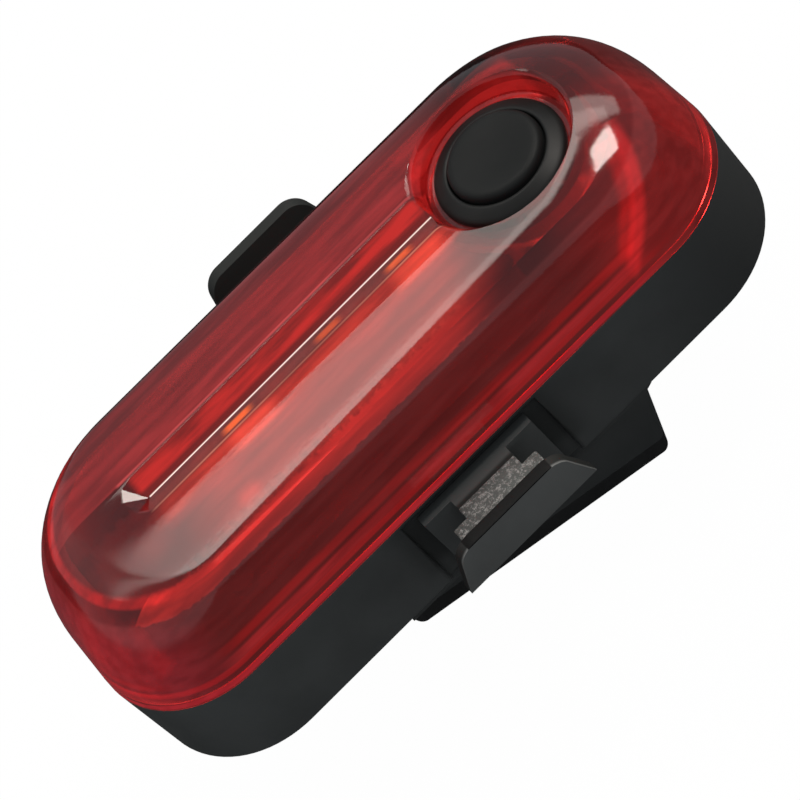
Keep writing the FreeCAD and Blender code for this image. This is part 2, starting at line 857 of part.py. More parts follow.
def build_port():
    """Charger board with its socket, and the rubber cover hinged over the port."""
    half_board = size.charger_width / 2
    board_front = charger_back + size.charger_length
    charger_top = charger_base + size.charger_thick
    low = (charger_back, -half_board, charger_base)
    node(block("charger_board", low, (board_front, half_board, charger_top)), "charger_board")
    half_shell = size.shell_width / 2
    shell_top = charger_top + size.shell_height
    shell_front = shell_back + size.shell_length
    outer = block("ShellOuter", (shell_back, -half_shell, charger_top), (shell_front, half_shell, shell_top))
    wall = size.shell_wall
    low = (shell_back, wall - half_shell, charger_top + wall)
    inner = block("ShellInner", low, (shell_front - wall, half_shell - wall, shell_top - wall))
    node(cut("usb_shell", outer, inner), "usb_shell")
    half_tongue = size.tongue_width / 2
    low = (shell_back + size.tongue_setback, -half_tongue, port_z - size.tongue_thick / 2)
    high = (shell_front - wall, half_tongue, port_z + size.tongue_thick / 2)
    node(block("usb_tongue", low, high), "usb_tongue")
    pins = []
    pin_front = board_front - size.pin_setback
    pin_count = int(size.pin_count.value)
    for number in range(pin_count):
        y = (number - (pin_count - 1) / 2) * size.pin_pitch
        low = (pin_front - size.pin_width, y - size.pin_width / 2, charger_top)
        high = (pin_front, y + size.pin_width / 2, board_base)
        pins.append(block(f"Pin{number}", low, high))
    node(group("link_pins", pins), "link_pins")
    cover = body("port_cover")
    axis_x = size.cover_thick / 2 - half_length
    flap = sketch(cover, "Flap", "XZ_Plane")
    rectangle(flap, -half_length, size.cover_thick - half_length, cover_axis_z, cover_top - size.cover_gap)
    pad(cover, "Plate", flap, size.cover_width, symmetric=True)
    knuckle = circle(sketch(cover, "Knuckle", "XZ_Plane"), axis_x, cover_axis_z, size.cover_thick / 2)
    pad(cover, "Hinge", knuckle, size.cover_width, symmetric=True)
    plug = sketch(cover, "Plug", "YZ_Plane", offset=size.cover_thick - half_length)
    half_plug = size.plug_width / 2
    rectangle(plug, -half_plug, half_plug, port_z - size.plug_height / 2, port_z + size.plug_height / 2)
    pad(cover, "Stopper", plug, size.plug_depth)
    trim = outline(cover, "Trim", ZERO, ZERO, ZERO)
    spare = size.case_wall
    length, width = size.body_length + 2 * spare, size.body_width + 2 * spare
    rounded_rectangle(trim, length, width, size.end_corner + spare)
    pocket(cover, "FollowEnd", trim, size.case_depth)


def tilted(along, down):
    """Side-view point at a distance along the saddle line and below it."""
    across, drop = cosine(size.saddle_tilt), sine(size.saddle_tilt)
    return along * across - down * drop, -along * drop - down * across


def saddle_cylinder(name, radius):
    """Cylinder along the seat post, touching the saddle line at the top."""
    item = doc.addObject("Part::Cylinder", name)
    reach = size.foot_length * 1.5
    bind(item, Radius=radius, Height=2 * reach)
    x, z = tilted(-reach, size.saddle_radius)
    item.Placement.Rotation = FreeCAD.Rotation(Vector(0, 1, 0), 90 + size.saddle_tilt.value)
    item.setExpression("Placement.Rotation.Angle", f"90 + {size.saddle_tilt.text}")
    place(item, x, 0, z)
    return item


def foot_profile(owner, level):
    """Side view of the foot, from its lower corners up to a level."""
    half = size.foot_length / 2
    half_foot = size.foot_width / 2
    sag = size.saddle_radius - root(size.saddle_radius * size.saddle_radius - half_foot * half_foot)
    low_x, low_z = tilted(size.foot_shift - half, sag)
    high_x, high_z = tilted(size.foot_shift + half, sag)
    slant = sine(size.saddle_tilt) / cosine(size.saddle_tilt)
    profile = sketch(owner, "Side", "XZ_Plane")
    polygon(
        profile,
        [
            (low_x, low_z),
            (high_x, high_z),
            (high_x + (level - high_z) * slant, level),
            (low_x + (level - low_z) * slant, level),
        ],
    )
    return profile


def round_foot(owner):
    """Round the foot's four standing corners."""
    half = size.foot_width.value / 2

    def standing(edge):
        box = edge.BoundBox
        return near(box.YLength, 0) and box.ZLength > box.XLength and near(abs(box.YMin), half)

    round_edges(owner, "FootCorners", size.foot_corner, standing)


def build_bracket():
    """Wedge foot with a cradle plate and arm sockets, and its rubber saddle pad."""
    plate_base = case_back - size.plate_thick
    foot = doc.addObject("PartDesign::Body", "FootBody")
    pad(foot, "Wedge", foot_profile(foot, plate_base), size.foot_width, symmetric=True)
    round_foot(foot)
    plate_sketch = sketch(foot, "Plate", offset=plate_base)
    rectangle(plate_sketch, -size.plate_back, size.plate_front, -size.plate_width / 2, size.plate_width / 2)
    pad(foot, "CradlePlate", plate_sketch, size.plate_thick)
    ears = sketch(foot, "Ears", offset=plate_base)
    ear_reach = recess_face - size.ear_play
    rectangle(ears, -size.ear_length / 2, size.ear_length / 2, -ear_reach, ear_reach)
    pad(foot, "SocketEars", ears, size.plate_thick)
    sockets = sketch(foot, "Sockets", "YZ_Plane", offset=-size.recess_width / 2)
    for side in (-1, 1):
        circle(sockets, side * bead_place, bead_z, size.bead_radius + size.bead_gap)
    pocket(foot, "BeadSockets", sockets, size.recess_width, reverse=True)
    pad_radius = size.saddle_radius + size.pad_thick
    node(cut("bracket_foot", foot, saddle_cylinder("PadSeat", pad_radius)), "bracket_foot")
    pad_body = doc.addObject("PartDesign::Body", "PadBody")
    pad(pad_body, "PadBlock", foot_profile(pad_body, plate_base), size.foot_width, symmetric=True)
    round_foot(pad_body)
    inside = common("PadInside", [pad_body, saddle_cylinder("PadOuter", pad_radius)])
    node(cut("saddle_pad", inside, saddle_cylinder("Post", size.saddle_radius)), "saddle_pad")


def build_arm(name, side):
    """Latch arm on one side of the case: bead, riser, catch, shelf and flared lip."""
    arm = body(name)
    riser_in = recess_face + size.arm_gap
    riser_out = riser_in + size.arm_thick
    shelf_top = parting - size.shelf_drop
    shelf_base = shelf_top - size.shelf_thick
    half_arm = size.arm_width / 2
    lip_base = parting - size.lip_drop
    lip_top = parting + size.lip_rise
    lip_in = lip_face(shelf_base)
    bead = circle(sketch(arm, "Bead", "YZ_Plane"), side * bead_place, bead_z, size.bead_radius)
    pad(arm, "BeadRod", bead, size.arm_width, symmetric=True)
    riser = sketch(arm, "Riser", "YZ_Plane")
    polygon(
        riser,
        [
            (side * riser_in, bead_z - size.bead_radius),
            (side * riser_out, bead_z - size.bead_radius),
            (side * riser_out, shelf_top),
            (side * riser_in, shelf_top),
        ],
    )
    pad(arm, "RiserPlate", riser, size.arm_width, symmetric=True)
    catch = sketch(arm, "Catch", "YZ_Plane")
    catch_z = parting - size.catch_drop
    polygon(
        catch,
        [
            (side * riser_in, catch_z - size.catch_height / 2),
            (side * riser_in, catch_z + size.catch_height / 2),
            (side * (riser_in - size.catch_reach), catch_z + size.catch_height / 4),
            (side * (riser_in - size.catch_reach), catch_z - size.catch_height / 4),
        ],
    )
    pad(arm, "CatchNose", catch, size.catch_width, symmetric=True)
    shelf = sketch(arm, "Shelf", offset=shelf_base)
    half_shelf = size.shelf_width / 2
    half_grip = size.grip_width / 2
    polygon(
        shelf,
        [
            (-half_shelf, side * riser_in),
            (half_shelf, side * riser_in),
            (half_shelf, side * size.grip_step),
            (half_grip, side * size.grip_step),
            (half_grip, side * lip_in),
            (-half_grip, side * lip_in),
            (-half_grip, side * size.grip_step),
            (-half_shelf, side * size.grip_step),
        ],
    )
    pad(arm, "ShelfPlate", shelf, size.shelf_thick)
    lip = sketch(arm, "Lip", "YZ_Plane")
    polygon(
        lip,
        [
            (side * (lip_face(lip_base) - size.lip_thick / 2), lip_base),
            (side * (lip_face(lip_base) + size.lip_thick / 2), lip_base),
            (side * size.lip_reach, lip_top),
            (side * (size.lip_reach - size.lip_thick), lip_top),
        ],
    )
    pad(arm, "LipPlate", lip, size.lip_foot_width, symmetric=True)
    half_top, half_foot = size.lip_top_width / 2, size.lip_foot_width / 2
    flanks = sketch(arm, "Flanks", "XZ_Plane")
    for end in (-1, 1):
        polygon(flanks, [(end * half_foot, lip_base), (end * half_foot, lip_top), (end * half_top, lip_top)])
    pocket(arm, "LipTaper", flanks, 3 * size.body_width, symmetric=True)

    def top_corner(edge):
        box = edge.BoundBox
        level = near(box.ZMin, lip_top.value) and near(box.XLength, 0)
        return level and near(box.YLength, size.lip_thick.value)

    round_edges(arm, "LipCorners", size.lip_corner, top_corner)
    gusset = sketch(arm, "Gusset", "YZ_Plane")
    polygon(
        gusset,
        [
            (side * riser_out, shelf_base),
            (side * lip_in, shelf_base),
            (side * lip_face(lip_base), lip_base),
            (side * riser_out, lip_base - (size.lip_reach - riser_out) * size.gusset_slope),
        ],
    )
    pad(arm, "GussetRib", gusset, size.gusset_thick, symmetric=True)
    span = sorted_pair(side * size.grip_start, side * size.grip_step)
    high = shelf_top + size.grip_block_height
    tall = block(f"{name}_block", (-half_shelf, span[0], shelf_top), (half_shelf, span[1], high))
    span = sorted_pair(side * size.grip_step, side * (lip_face(shelf_top) - size.lip_thick))
    high = shelf_top + size.grip_height
    flat = block(f"{name}_strip", (-half_grip, span[0], shelf_top), (half_grip, span[1], high))
    node(fuse(f"{name}_grip", [tall, flat]), f"{name}_grip")


def lip_face(level):
    """Distance of the middle of the leaning lip from the centre plane at a level."""
    share = (parting + size.lip_rise - level) / (size.lip_rise + size.lip_drop)
    return size.lip_reach - size.lip_thick / 2 - size.lip_lean * share


def sorted_pair(first, second):
    """Two formulas in rising order."""
    return (first, second) if first.value < second.value else (second, first)


build_rear_case()
build_lens()
build_seal_ring()
build_boards()
build_optics()
build_switch()
build_button()
build_battery()
build_port()
build_bracket()
build_arm("right_arm", -1)
build_arm("left_arm", 1)
doc.recompute()

for item in doc.Objects:
    if "Invalid" in item.State or "Error" in item.State:
        raise ValueError(f"{item.Label} didn't build: {item.State}")
for item in nodes:
    if item.Shape.isNull() or not item.Shape.isValid():
        raise ValueError(f"{item.Label} has no valid shape")

os.makedirs("parts", exist_ok=True)
for item in nodes:
    item.Shape.exportStep(f"parts/{item.Label}.step")
    print(f"{item.Label}: {len(item.Shape.Solids)} solids, {item.Shape.Volume:.1f} mm3")
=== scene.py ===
"""Bike tail light on its seat-post bracket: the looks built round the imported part.

Sizes in the classes are millimetres in the part's own frame: +X towards the button, +Z out of
the lens, and the origin on the seat-post saddle. Angles of turns between faces are degrees.
Finished meshes are in metres.
"""

import json
import logging
import math
from dataclasses import dataclass, field
from enum import Enum
from typing import Callable, Iterable, Sequence

import bmesh
import bpy
from mathutils import Matrix, Vector

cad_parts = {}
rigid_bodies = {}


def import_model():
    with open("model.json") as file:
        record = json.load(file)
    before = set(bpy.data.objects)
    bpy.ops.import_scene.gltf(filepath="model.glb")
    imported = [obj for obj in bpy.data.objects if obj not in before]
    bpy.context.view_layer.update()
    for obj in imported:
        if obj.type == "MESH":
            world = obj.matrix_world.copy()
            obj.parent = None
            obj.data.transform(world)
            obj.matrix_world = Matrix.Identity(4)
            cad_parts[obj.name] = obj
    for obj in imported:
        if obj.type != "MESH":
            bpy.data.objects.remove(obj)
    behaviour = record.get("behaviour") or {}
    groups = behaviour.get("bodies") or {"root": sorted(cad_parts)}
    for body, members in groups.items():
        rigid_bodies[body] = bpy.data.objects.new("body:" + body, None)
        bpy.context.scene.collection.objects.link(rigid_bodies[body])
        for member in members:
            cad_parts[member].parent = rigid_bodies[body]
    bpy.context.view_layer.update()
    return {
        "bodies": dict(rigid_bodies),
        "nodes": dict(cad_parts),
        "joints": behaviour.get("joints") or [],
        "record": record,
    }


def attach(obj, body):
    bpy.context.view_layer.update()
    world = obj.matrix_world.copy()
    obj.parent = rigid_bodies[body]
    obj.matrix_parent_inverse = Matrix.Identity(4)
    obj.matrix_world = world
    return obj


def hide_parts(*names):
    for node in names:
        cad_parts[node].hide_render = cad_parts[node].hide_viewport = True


Colour = tuple[float, float, float]
Point = tuple[float, float, float]
Section = tuple[tuple[float, float], ...]
Loop = list[bmesh.types.BMVert]
Test = Callable[[Vector], bool]

MM = 0.001
PARTING = 21.3
BODY_LENGTH = 76.0
BODY_WIDTH = 28.2
END_CORNER = 11.2
BUTTON_X = 21.4

# Steps of a quarter of the outline, of a narrow rounding and of a wide one
CORNER_STEPS = 22
ROUND_STEPS = 3
WIDE_STEPS = 6

# Least turn of an edge that is rounded, of one that stays sharp to the eye, and of one that is kept
ROUNDED_TURN = 38.0
CREASED_TURN = 30.0
KEPT_TURN = 0.6

# Distances within which a point lies on a face or line, and vertices merge in a new mesh or a node
NEAR = 0.05
MERGED = 1e-4
NODE_MERGED = 1e-3

# Sockets of a Mix node that mixes colours
MIX_LOW, MIX_HIGH, MIX_RESULT = 6, 7, 2

BLACK = (0.0, 0.0, 0.0)

# How dark the darker patches of a finish are, and how the streaks of a zone start
DARKER = 0.8
STREAKS_START, STREAKS_BLUR = 0.5, 0.34

log = logging.getLogger("tail_light")


class Rides(Enum):
    """The moving bodies that a piece can ride on."""

    LIGHT = "light"
    BUTTON = "button"
    COVER = "cover"
    RIGHT_ARM = "right_latch"
    LEFT_ARM = "left_latch"


class Ray(Enum):
    """The kinds of ray that the floor and the world tell apart."""

    CAMERA = "Is Camera Ray"
    MIRRORED = "Is Glossy Ray"


# Shader maths


class Flow:
    """One output socket of a node tree, with the operators that the finishes use."""

    def __init__(self, graph: "Graph", socket: bpy.types.NodeSocket) -> None:
        """Wrap a socket of a graph."""
        self.graph = graph
        self.socket = socket

    def _maths(self, operation: str, *values: "Flow | float") -> "Flow":
        """Join values with a Math node."""
        inputs = dict(enumerate(values))
        return self.graph.node("ShaderNodeMath", {"operation": operation}, inputs)

    def __add__(self, other: "Flow | float") -> "Flow":
        """Sum of two values."""
        return self._maths("ADD", self, other)

    def __radd__(self, other: float) -> "Flow":
        """Sum with a number on the left."""
        return self._maths("ADD", other, self)

    def __sub__(self, other: "Flow | float") -> "Flow":
        """Difference of two values."""
        return self._maths("SUBTRACT", self, other)

    def __rsub__(self, other: float) -> "Flow":
        """Difference from a number on the left."""
        return self._maths("SUBTRACT", other, self)

    def __mul__(self, other: "Flow | float") -> "Flow":
        """Product of two values."""
        return self._maths("MULTIPLY", self, other)

    def __rmul__(self, other: float) -> "Flow":
        """Product with a number on the left."""
        return self._maths("MULTIPLY", other, self)

    def raised(self, power: float) -> "Flow":
        """The value to a power."""
        return self._maths("POWER", self, power)

    def wave(self) -> "Flow":
        """Sine of the value."""
        return self._maths("SINE", self)

    def over(self, edge: float, width: float) -> "Flow":
        """Soft step from 0 to 1.

        Args:
            edge: Value at the middle of the step.
            width: Width of the step.

        Returns:
            The step.
        """
        settings = {"interpolation_type": "SMOOTHSTEP", "clamp": True}
        limits = {"Value": self, "From Min": edge - width / 2, "From Max": edge + width / 2}
        return self.graph.node("ShaderNodeMapRange", settings, limits)


class Graph:
    """The nodes of a material or of the world, under construction."""

    def __init__(self, tree: bpy.types.NodeTree, output: str) -> None:
        """Empty a node tree and give it its output node.

        Args:
            tree: The node tree.
            output: Type of the output node.
        """
        tree.nodes.clear()
        self.tree = tree
        self.output = tree.nodes.new(output)

    def node(self, kind: str, settings: dict, inputs: dict, output: int | str = 0) -> Flow:
        """Add any node.

        Args:
            kind: The node's type.
            settings: Properties set before the sockets.
            inputs: Values or flows of its sockets.
            output: The output that is wanted.

        Returns:
            The wanted output.
        """
        made = self.tree.nodes.new(kind)
        for name, value in settings.items():
            setattr(made, name, value)
        for name, value in inputs.items():
            self.feed(made.inputs[name], value)
        return Flow(self, made.outputs[output])

    def feed(self, socket: bpy.types.NodeSocket, value: object) -> None:
        """Link a flow to a socket, or set a plain value on it.

        Args:
            socket: The socket.
            value: The flow or the value.
        """
        if isinstance(value, Flow):
            self.tree.links.new(value.socket, socket)
        else:
            socket.default_value = value

    def show(self, shader: Flow) -> None:
        """Make a shader the surface."""
        self.feed(self.output.inputs["Surface"], shader)

    def swap(self, share: Flow, low: Flow, high: Flow) -> Flow:
        """Mix of two shaders by a share."""
        return self.node("ShaderNodeMixShader", {}, {0: share, 1: low, 2: high})

    def seen_by(self, ray: Ray) -> Flow:
        """1 where a ray is of a kind, else 0."""
        return self.node("ShaderNodeLightPath", {}, {}, ray.value)


class Recipe(Graph):
    """A material under construction, with one Principled shader."""

    def __init__(self, name: str) -> None:
        """Start a material of a name.

        Args:
            name: The material's name.
        """
        self.material = bpy.data.materials.new(name)
        self.material.use_nodes = True
        super().__init__(self.material.node_tree, "ShaderNodeOutputMaterial")
        self.shader = self.node("ShaderNodeBsdfPrincipled", {}, {})
        self.show(self.shader)

    def place(self, scale: Point = (1.0, 1.0, 1.0), centre: Point = (0.0, 0.0, 0.0)) -> Flow:
        """Object coordinates in millimetres round a centre.

        Args:
            scale: Stretch of each axis.
            centre: Point, in millimetres, that becomes the middle.

        Returns:
            The coordinates.
        """
        inputs = {
            "Vector": self.node("ShaderNodeTexCoord", {}, {}, "Object"),
            "Location": tuple(-c * s for c, s in zip(centre, scale)),
            "Scale": tuple(s / MM for s in scale),
        }
        return self.node("ShaderNodeMapping", {"vector_type": "POINT"}, inputs)

    def axes(self, where: Flow) -> tuple[Flow, Flow, Flow]:
        """The three numbers of a vector.

        Args:
            where: The vector.

        Returns:
            Its x, y and z.
        """
        split = self.node("ShaderNodeSeparateXYZ", {}, {"Vector": where})
        outputs = split.socket.node.outputs
        return tuple(Flow(self, outputs[index]) for index in range(3))

    def noise(self, where: Flow, scale: float, detail: float = 3.0, rough: float = 0.5) -> Flow:
        """Cloudy noise, about 0 to 1.

        Args:
            where: Coordinates in millimetres.
            scale: Lumps per millimetre.
            detail: Octaves.
            rough: Strength of the finer octaves.

        Returns:
            The noise.
        """
        inputs = {"Vector": where, "Scale": scale, "Detail": detail, "Roughness": rough}
        return self.node("ShaderNodeTexNoise", {}, inputs)

    def _mix(self, kind: str, share: Flow | float, low: Flow | Colour, high: Flow | Colour) -> Flow:
        """Join two colours with a Mix node.

        Args:
            kind: How they are joined.
            share: How much of it is done, from 0 to 1.
            low: The colour at 0.
            high: The other colour.

        Returns:
            The joined colour.
        """
        settings = {"data_type": "RGBA", "blend_type": kind, "clamp_factor": True}
        node = self.node("ShaderNodeMix", settings, {0: share}).socket.node
        for index, colour in ((MIX_LOW, low), (MIX_HIGH, high)):
            self.feed(node.inputs[index], colour if isinstance(colour, Flow) else (*colour, 1.0))
        return Flow(self, node.outputs[MIX_RESULT])

    def blend(self, share: Flow | float, low: Flow | Colour, high: Flow | Colour) -> Flow:
        """Mix of two colours by a share."""
        return self._mix("MIX", share, low, high)

    def add(self, first: Flow, second: Flow) -> Flow:
        """Sum of two colours."""
        return self._mix("ADD", 1.0, first, second)

    def bump(self, height: Flow, depth: float) -> Flow:
        """Normal of a bump whose height of 1 is a depth in millimetres."""
        return self.node("ShaderNodeBump", {}, {"Height": height, "Distance": depth * MM, "Strength": 1.0})

    def surface(self, **sockets: object) -> bpy.types.Material:
        """Set the shader's sockets and give the material.

        Args:
            sockets: Values or flows, by socket name with _ for a space.

        Returns:
            The material.
        """
        for name, value in sockets.items():
            socket = self.shader.socket.node.inputs[name.replace("_", " ")]
            self.feed(socket, value)
        return self.material


# Finishes


def shaded(colour: Colour, share: float) -> Colour:
    """A colour made darker or lighter by a share."""
    return tuple(min(1.0, c * share) for c in colour)


@dataclass(frozen=True)
class Window:
    """A stretch of one axis, in millimetres, with soft ends."""

    low: float
    high: float
    blur: float = 0.1

    def share(self, value: Flow) -> Flow:
        """How far a value lies inside, from 0 to 1."""
        return value.over(self.low, self.blur) * (1 - value.over(self.high, self.blur))


@dataclass(frozen=True)
class Zone:
    """A region of a surface where light or shade is painted: a colour blended into the base colour, or a
    glow added as emission.

    It is bounded along the light, toward the -Y side and over the parting plane. `patches` is how
    much of it comes and goes in streaks along the light, `grain` how uneven it is up close and
    `ragged` how far its height wavers. `climb` is how much its height rises for each millimetre
    along, and `lean` how far it moves toward -Y for each millimetre up.
    """

    colour: Colour
    along: Window | None = None
    near: Window | None = None
    up: Window | None = None
    patches: float = 0.0
    grain: float = 0.0
    ragged: float = 0.0
    climb: float = 0.0
    lean: float = 0.0

    def share(self, recipe: Recipe) -> Flow:
        """How far a point lies in the zone.

        Args:
            recipe: The material.

        Returns:
            The share, from 0 to 1.
        """
        where = recipe.place(centre=(0.0, 0.0, PARTING))
        along, across, up = recipe.axes(where)
        if self.ragged:
            wavering = recipe.noise(where, scale=1.1, detail=3.0, rough=0.7) - 0.5
            up = up + wavering * self.ragged
        if self.climb:
            up = up - (along - self.along.low) * self.climb
        near = 0 - across - up * self.lean
        share: Flow | float = 1.0
        for window, value in ((self.along, along), (self.near, near), (self.up, up)):
            if window:
                share = window.share(value) * share
        if self.patches:
            stretched = recipe.place(scale=(0.11, 0.9, 0.9))
            streaks = recipe.noise(stretched, scale=1.0, detail=3.0)
            streaks = streaks.over(STREAKS_START, STREAKS_BLUR)
            share = share * (streaks * self.patches + (1 - self.patches))
        if self.grain:
            speckle = recipe.noise(where, scale=4.5, detail=2.0, rough=0.7) - 0.5
            share = share * (speckle * self.grain + 1.0)
        return share


@dataclass(frozen=True)
class Moulding:
    """Fine-grained moulded plastic or rubber, a little uneven in colour and shine, with painted shade
    blended in over its `shades` zones.
    """

    name: str
    colour: Colour
    roughness: float = 0.45
    grain: float = 9.0
    depth: float = 0.012
    unevenness: float = 0.18
    specular: float = 0.5
    dust: float = 0.0
    shades: tuple[Zone, ...] = ()
    bloom: float = 0.004
    broad_shine: float = 0.16
    fine_shine: float = 0.1
    dust_colour: Colour = (0.4, 0.41, 0.4)

    def material(self) -> bpy.types.Material:
        """Build the material.

        Returns:
            The material.
        """
        recipe = Recipe(self.name)
        where = recipe.place()
        fine = recipe.noise(where, self.grain, detail=2.0, rough=0.6)
        broad = recipe.noise(where, scale=0.14, detail=3.0)
        pale = tuple(min(1.0, c * (1 + self.unevenness) + self.bloom) for c in self.colour)
        deep = shaded(self.colour, 1 - self.unevenness)
        colour = recipe.blend(broad.over(0.5, 0.5), deep, pale)
        if self.dust:
            specks = recipe.noise(where, scale=3.0, detail=4.0, rough=0.8).over(0.56, 0.16)
            colour = recipe.blend(specks * self.dust, colour, self.dust_colour)
        for shade in self.shades:
            colour = recipe.blend(shade.share(recipe), colour, shade.colour)
        shine = (broad - 0.5) * self.broad_shine + (fine - 0.5) * self.fine_shine
        return recipe.surface(
            Base_Color=colour,
            Roughness=self.roughness + shine,
            Specular_IOR_Level=self.specular,
            Normal=recipe.bump(fine, self.depth),
        )


@dataclass(frozen=True)
class ClearRed:
    """Clear red moulded resin, tinted, with painted light added as emission in zones: glow where light is
    piped through the resin, highlights, glints of the diodes and reflections of the lamps.

    It is a little rougher, by `haze`, in the stretch along the light that `hazy` gives.
    """

    name: str
    colour: Colour
    painted_light: tuple[Zone, ...]
    hazy: Window
    haze: float = 0.10
    index: float = 1.49
    roughness: float = 0.07
    drift: float = 0.03
    ripple: float = 0.004
    deepest: float = 0.86

    def material(self) -> bpy.types.Material:
        """Build the material.

        Returns:
            The material.
        """
        recipe = Recipe(self.name)
        where = recipe.place(centre=(0.0, 0.0, PARTING))
        along, _, _ = recipe.axes(where)
        broad = recipe.noise(where, scale=0.09, detail=2.0)
        fine = recipe.noise(where, scale=2.6, detail=2.0)
        # Painted light: each zone's colour, where the zone lies, summed into the emission.
        lit = recipe.blend(0.0, BLACK, BLACK)
        for zone in self.painted_light:
            lit = recipe.add(lit, recipe.blend(zone.share(recipe), BLACK, zone.colour))
        return recipe.surface(
            Base_Color=recipe.blend(broad.over(0.5, 0.6), shaded(self.colour, self.deepest), self.colour),
            Roughness=self.roughness + fine * self.drift + self.hazy.share(along) * self.haze,
            Transmission_Weight=1.0,
            IOR=self.index,
            Emission_Color=lit,
            Emission_Strength=1.0,
            Normal=recipe.bump(fine, self.ripple),
        )


@dataclass(frozen=True)
class FrostedSheet:
    """Milky sheet with a painted glow round each diode, added as emission.

    The painted glow round each diode falls off by `fall_along` and `fall_across` for a square millimetre.
    """

    name: str
    colour: Colour
    glow: Colour
    spots: tuple[float, ...]
    strength: float = 1.0
    fall_along: float = 0.09
    fall_across: float = 0.12
    frost: float = 0.02
    roughness: float = 0.5
    drift: float = 0.2

    def material(self) -> bpy.types.Material:
        """Build the material, with a painted glow over each diode.

        Returns:
            The material.
        """
        recipe = Recipe(self.name)
        where = recipe.place()
        along, across, _ = recipe.axes(where)
        # Painted glow round each diode, summed here and added as emission.
        glow: Flow | float = 0.0
        for spot in self.spots:
            fall = (along - spot).raised(2.0) * self.fall_along + across.raised(2.0) * self.fall_across
            near = recipe.node("ShaderNodeClamp", {}, {"Value": 1 - fall})
            glow = near * near + glow
        fine = recipe.noise(where, scale=5.0, detail=3.0, rough=0.7)
        return recipe.surface(
            Base_Color=recipe.blend(fine, shaded(self.colour, DARKER), self.colour),
            Roughness=self.roughness + fine * self.drift,
            Emission_Color=recipe.blend(glow, BLACK, self.glow),
            Emission_Strength=self.strength,
            Normal=recipe.bump(fine, self.frost),
        )


@dataclass(frozen=True)
class BoardFace:
    """Solder mask over copper tracks, which run along the board and wander across it."""

    name: str
    colour: Colour
    track: Colour
    tracks: float = 3.1
    wander: float = 0.35
    swing: float = 1.3
    track_edge: float = 0.55
    track_blur: float = 0.2
    track_share: float = 0.7
    copper: float = 0.03
    roughness: float = 0.34
    drift: float = 0.1

    def material(self) -> bpy.types.Material:
        """Build the material.

        Returns:
            The material.
        """
        recipe = Recipe(self.name)
        where = recipe.place()
        along, across, _ = recipe.axes(where)
        path = across * self.tracks + (along * self.wander).wave() * self.swing
        lines = path.wave().over(self.track_edge, self.track_blur)
        weave = recipe.noise(where, scale=6.0, detail=2.0)
        mask = recipe.blend(weave, shaded(self.colour, DARKER), self.colour)
        return recipe.surface(
            Base_Color=recipe.blend(lines * self.track_share, mask, self.track),
            Roughness=self.roughness + weave * self.drift,
            Normal=recipe.bump(lines, self.copper),
        )


@dataclass(frozen=True)
class Plated:
    """Bright plated metal with faint brushing along the light."""

    name: str
    colour: Colour
    roughness: float = 0.25
    brushing: float = 0.006
    drift: float = 0.2

    def material(self) -> bpy.types.Material:
        """Build the material.

        Returns:
            The material.
        """
        recipe = Recipe(self.name)
        brushed = recipe.noise(recipe.place(scale=(1.0, 9.0, 9.0)), scale=1.2, detail=3.0)
        broad = recipe.noise(recipe.place(), scale=0.4, detail=2.0)
        return recipe.surface(
            Base_Color=recipe.blend(broad, shaded(self.colour, DARKER), self.colour),
            Metallic=1.0,
            Roughness=self.roughness + (brushed - 0.5) * self.drift,
            Normal=recipe.bump(brushed, self.brushing),
        )


# Past every end or side of the light, and how far the -Y side reaches
PAST = 60.0
SIDE = 20.0

LED_SPOTS = (-25.6, -16.4, -7.2, 2.0, 11.2)

CROWN = Window(10.7, 20.0, 0.3)
WALL_FOOT = Window(-3.0, 9.8, 0.4)
GROOVE_RUN = Window(-23.0, 13.4, 1.0)
NEAR_SPOTS = Window(0.9, 2.2, 0.5)
NEAR_BAND = Window(2.9, 5.0, 1.2)

# Painted light on the lens, added as emission. On the wall: red glow in bands, along the crease and just
# over the parting plane, in place of light piped through the resin.
WALL_PAINTED_LIGHT = (
    Zone(
        (0.27, 0.010, 0.007),
        Window(-PAST, 10, 8),
        Window(9, SIDE),
        Window(9.75, 11.36, 0.2),
        patches=0.45,
        ragged=0.6,
    ),
    Zone((0.12, 0.003, 0.002), Window(-PAST, 8, 8), Window(9, SIDE), Window(10.6, 11.36, 0.3), 0.3),
    Zone((0.30, 0.005, 0.005), Window(-PAST, -27, 3), None, Window(10.85, 11.38, 0.25), 0.5),
    Zone((0.20, 0.005, 0.007), Window(-27, 24, 5), Window(6, SIDE), Window(2.3, 3.3, 0.5), 0.5),
    Zone(
        (0.30, 0.005, 0.006),
        Window(23, 31, 2),
        Window(7, SIDE),
        Window(1.5, 3.6, 1.4),
        patches=0.4,
        climb=1.1,
    ),
    Zone(
        (0.26, 0.005, 0.011),
        Window(-PAST, 24, 9),
        Window(-5, SIDE, 4),
        Window(0.15, 0.85, 0.2),
        patches=0.2,
    ),
    Zone((0.036, 0.010, 0.010), None, None, WALL_FOOT, 0.3),
    Zone((0.025, 0.001, 0.001), None, Window(-1, PAST, 8), WALL_FOOT, 0.4),
)
# Painted glow in the dish round the button.
DISH_PAINTED_LIGHT = (
    Zone(
        (0.15, 0.003, 0.003),
        Window(14.5, 28.5, 1),
        Window(-7.9, -2.0, 1.5),
        Window(9.3, 11.9, 0.3),
        patches=0.3,
    ),
)
# Painted glow over both ends of the lens.
END_PAINTED_LIGHT = (
    Zone(
        (0.045, 0.001, 0.001),
        Window(21, PAST, 8),
        Window(2, PAST, 8),
        Window(-3, 12.5, 0.5),
        patches=0.3,
    ),
    Zone((0.05, 0.003, 0.007), Window(-PAST, -29, 7), None, Window(1, 9.4, 2.0), 0.3),
)
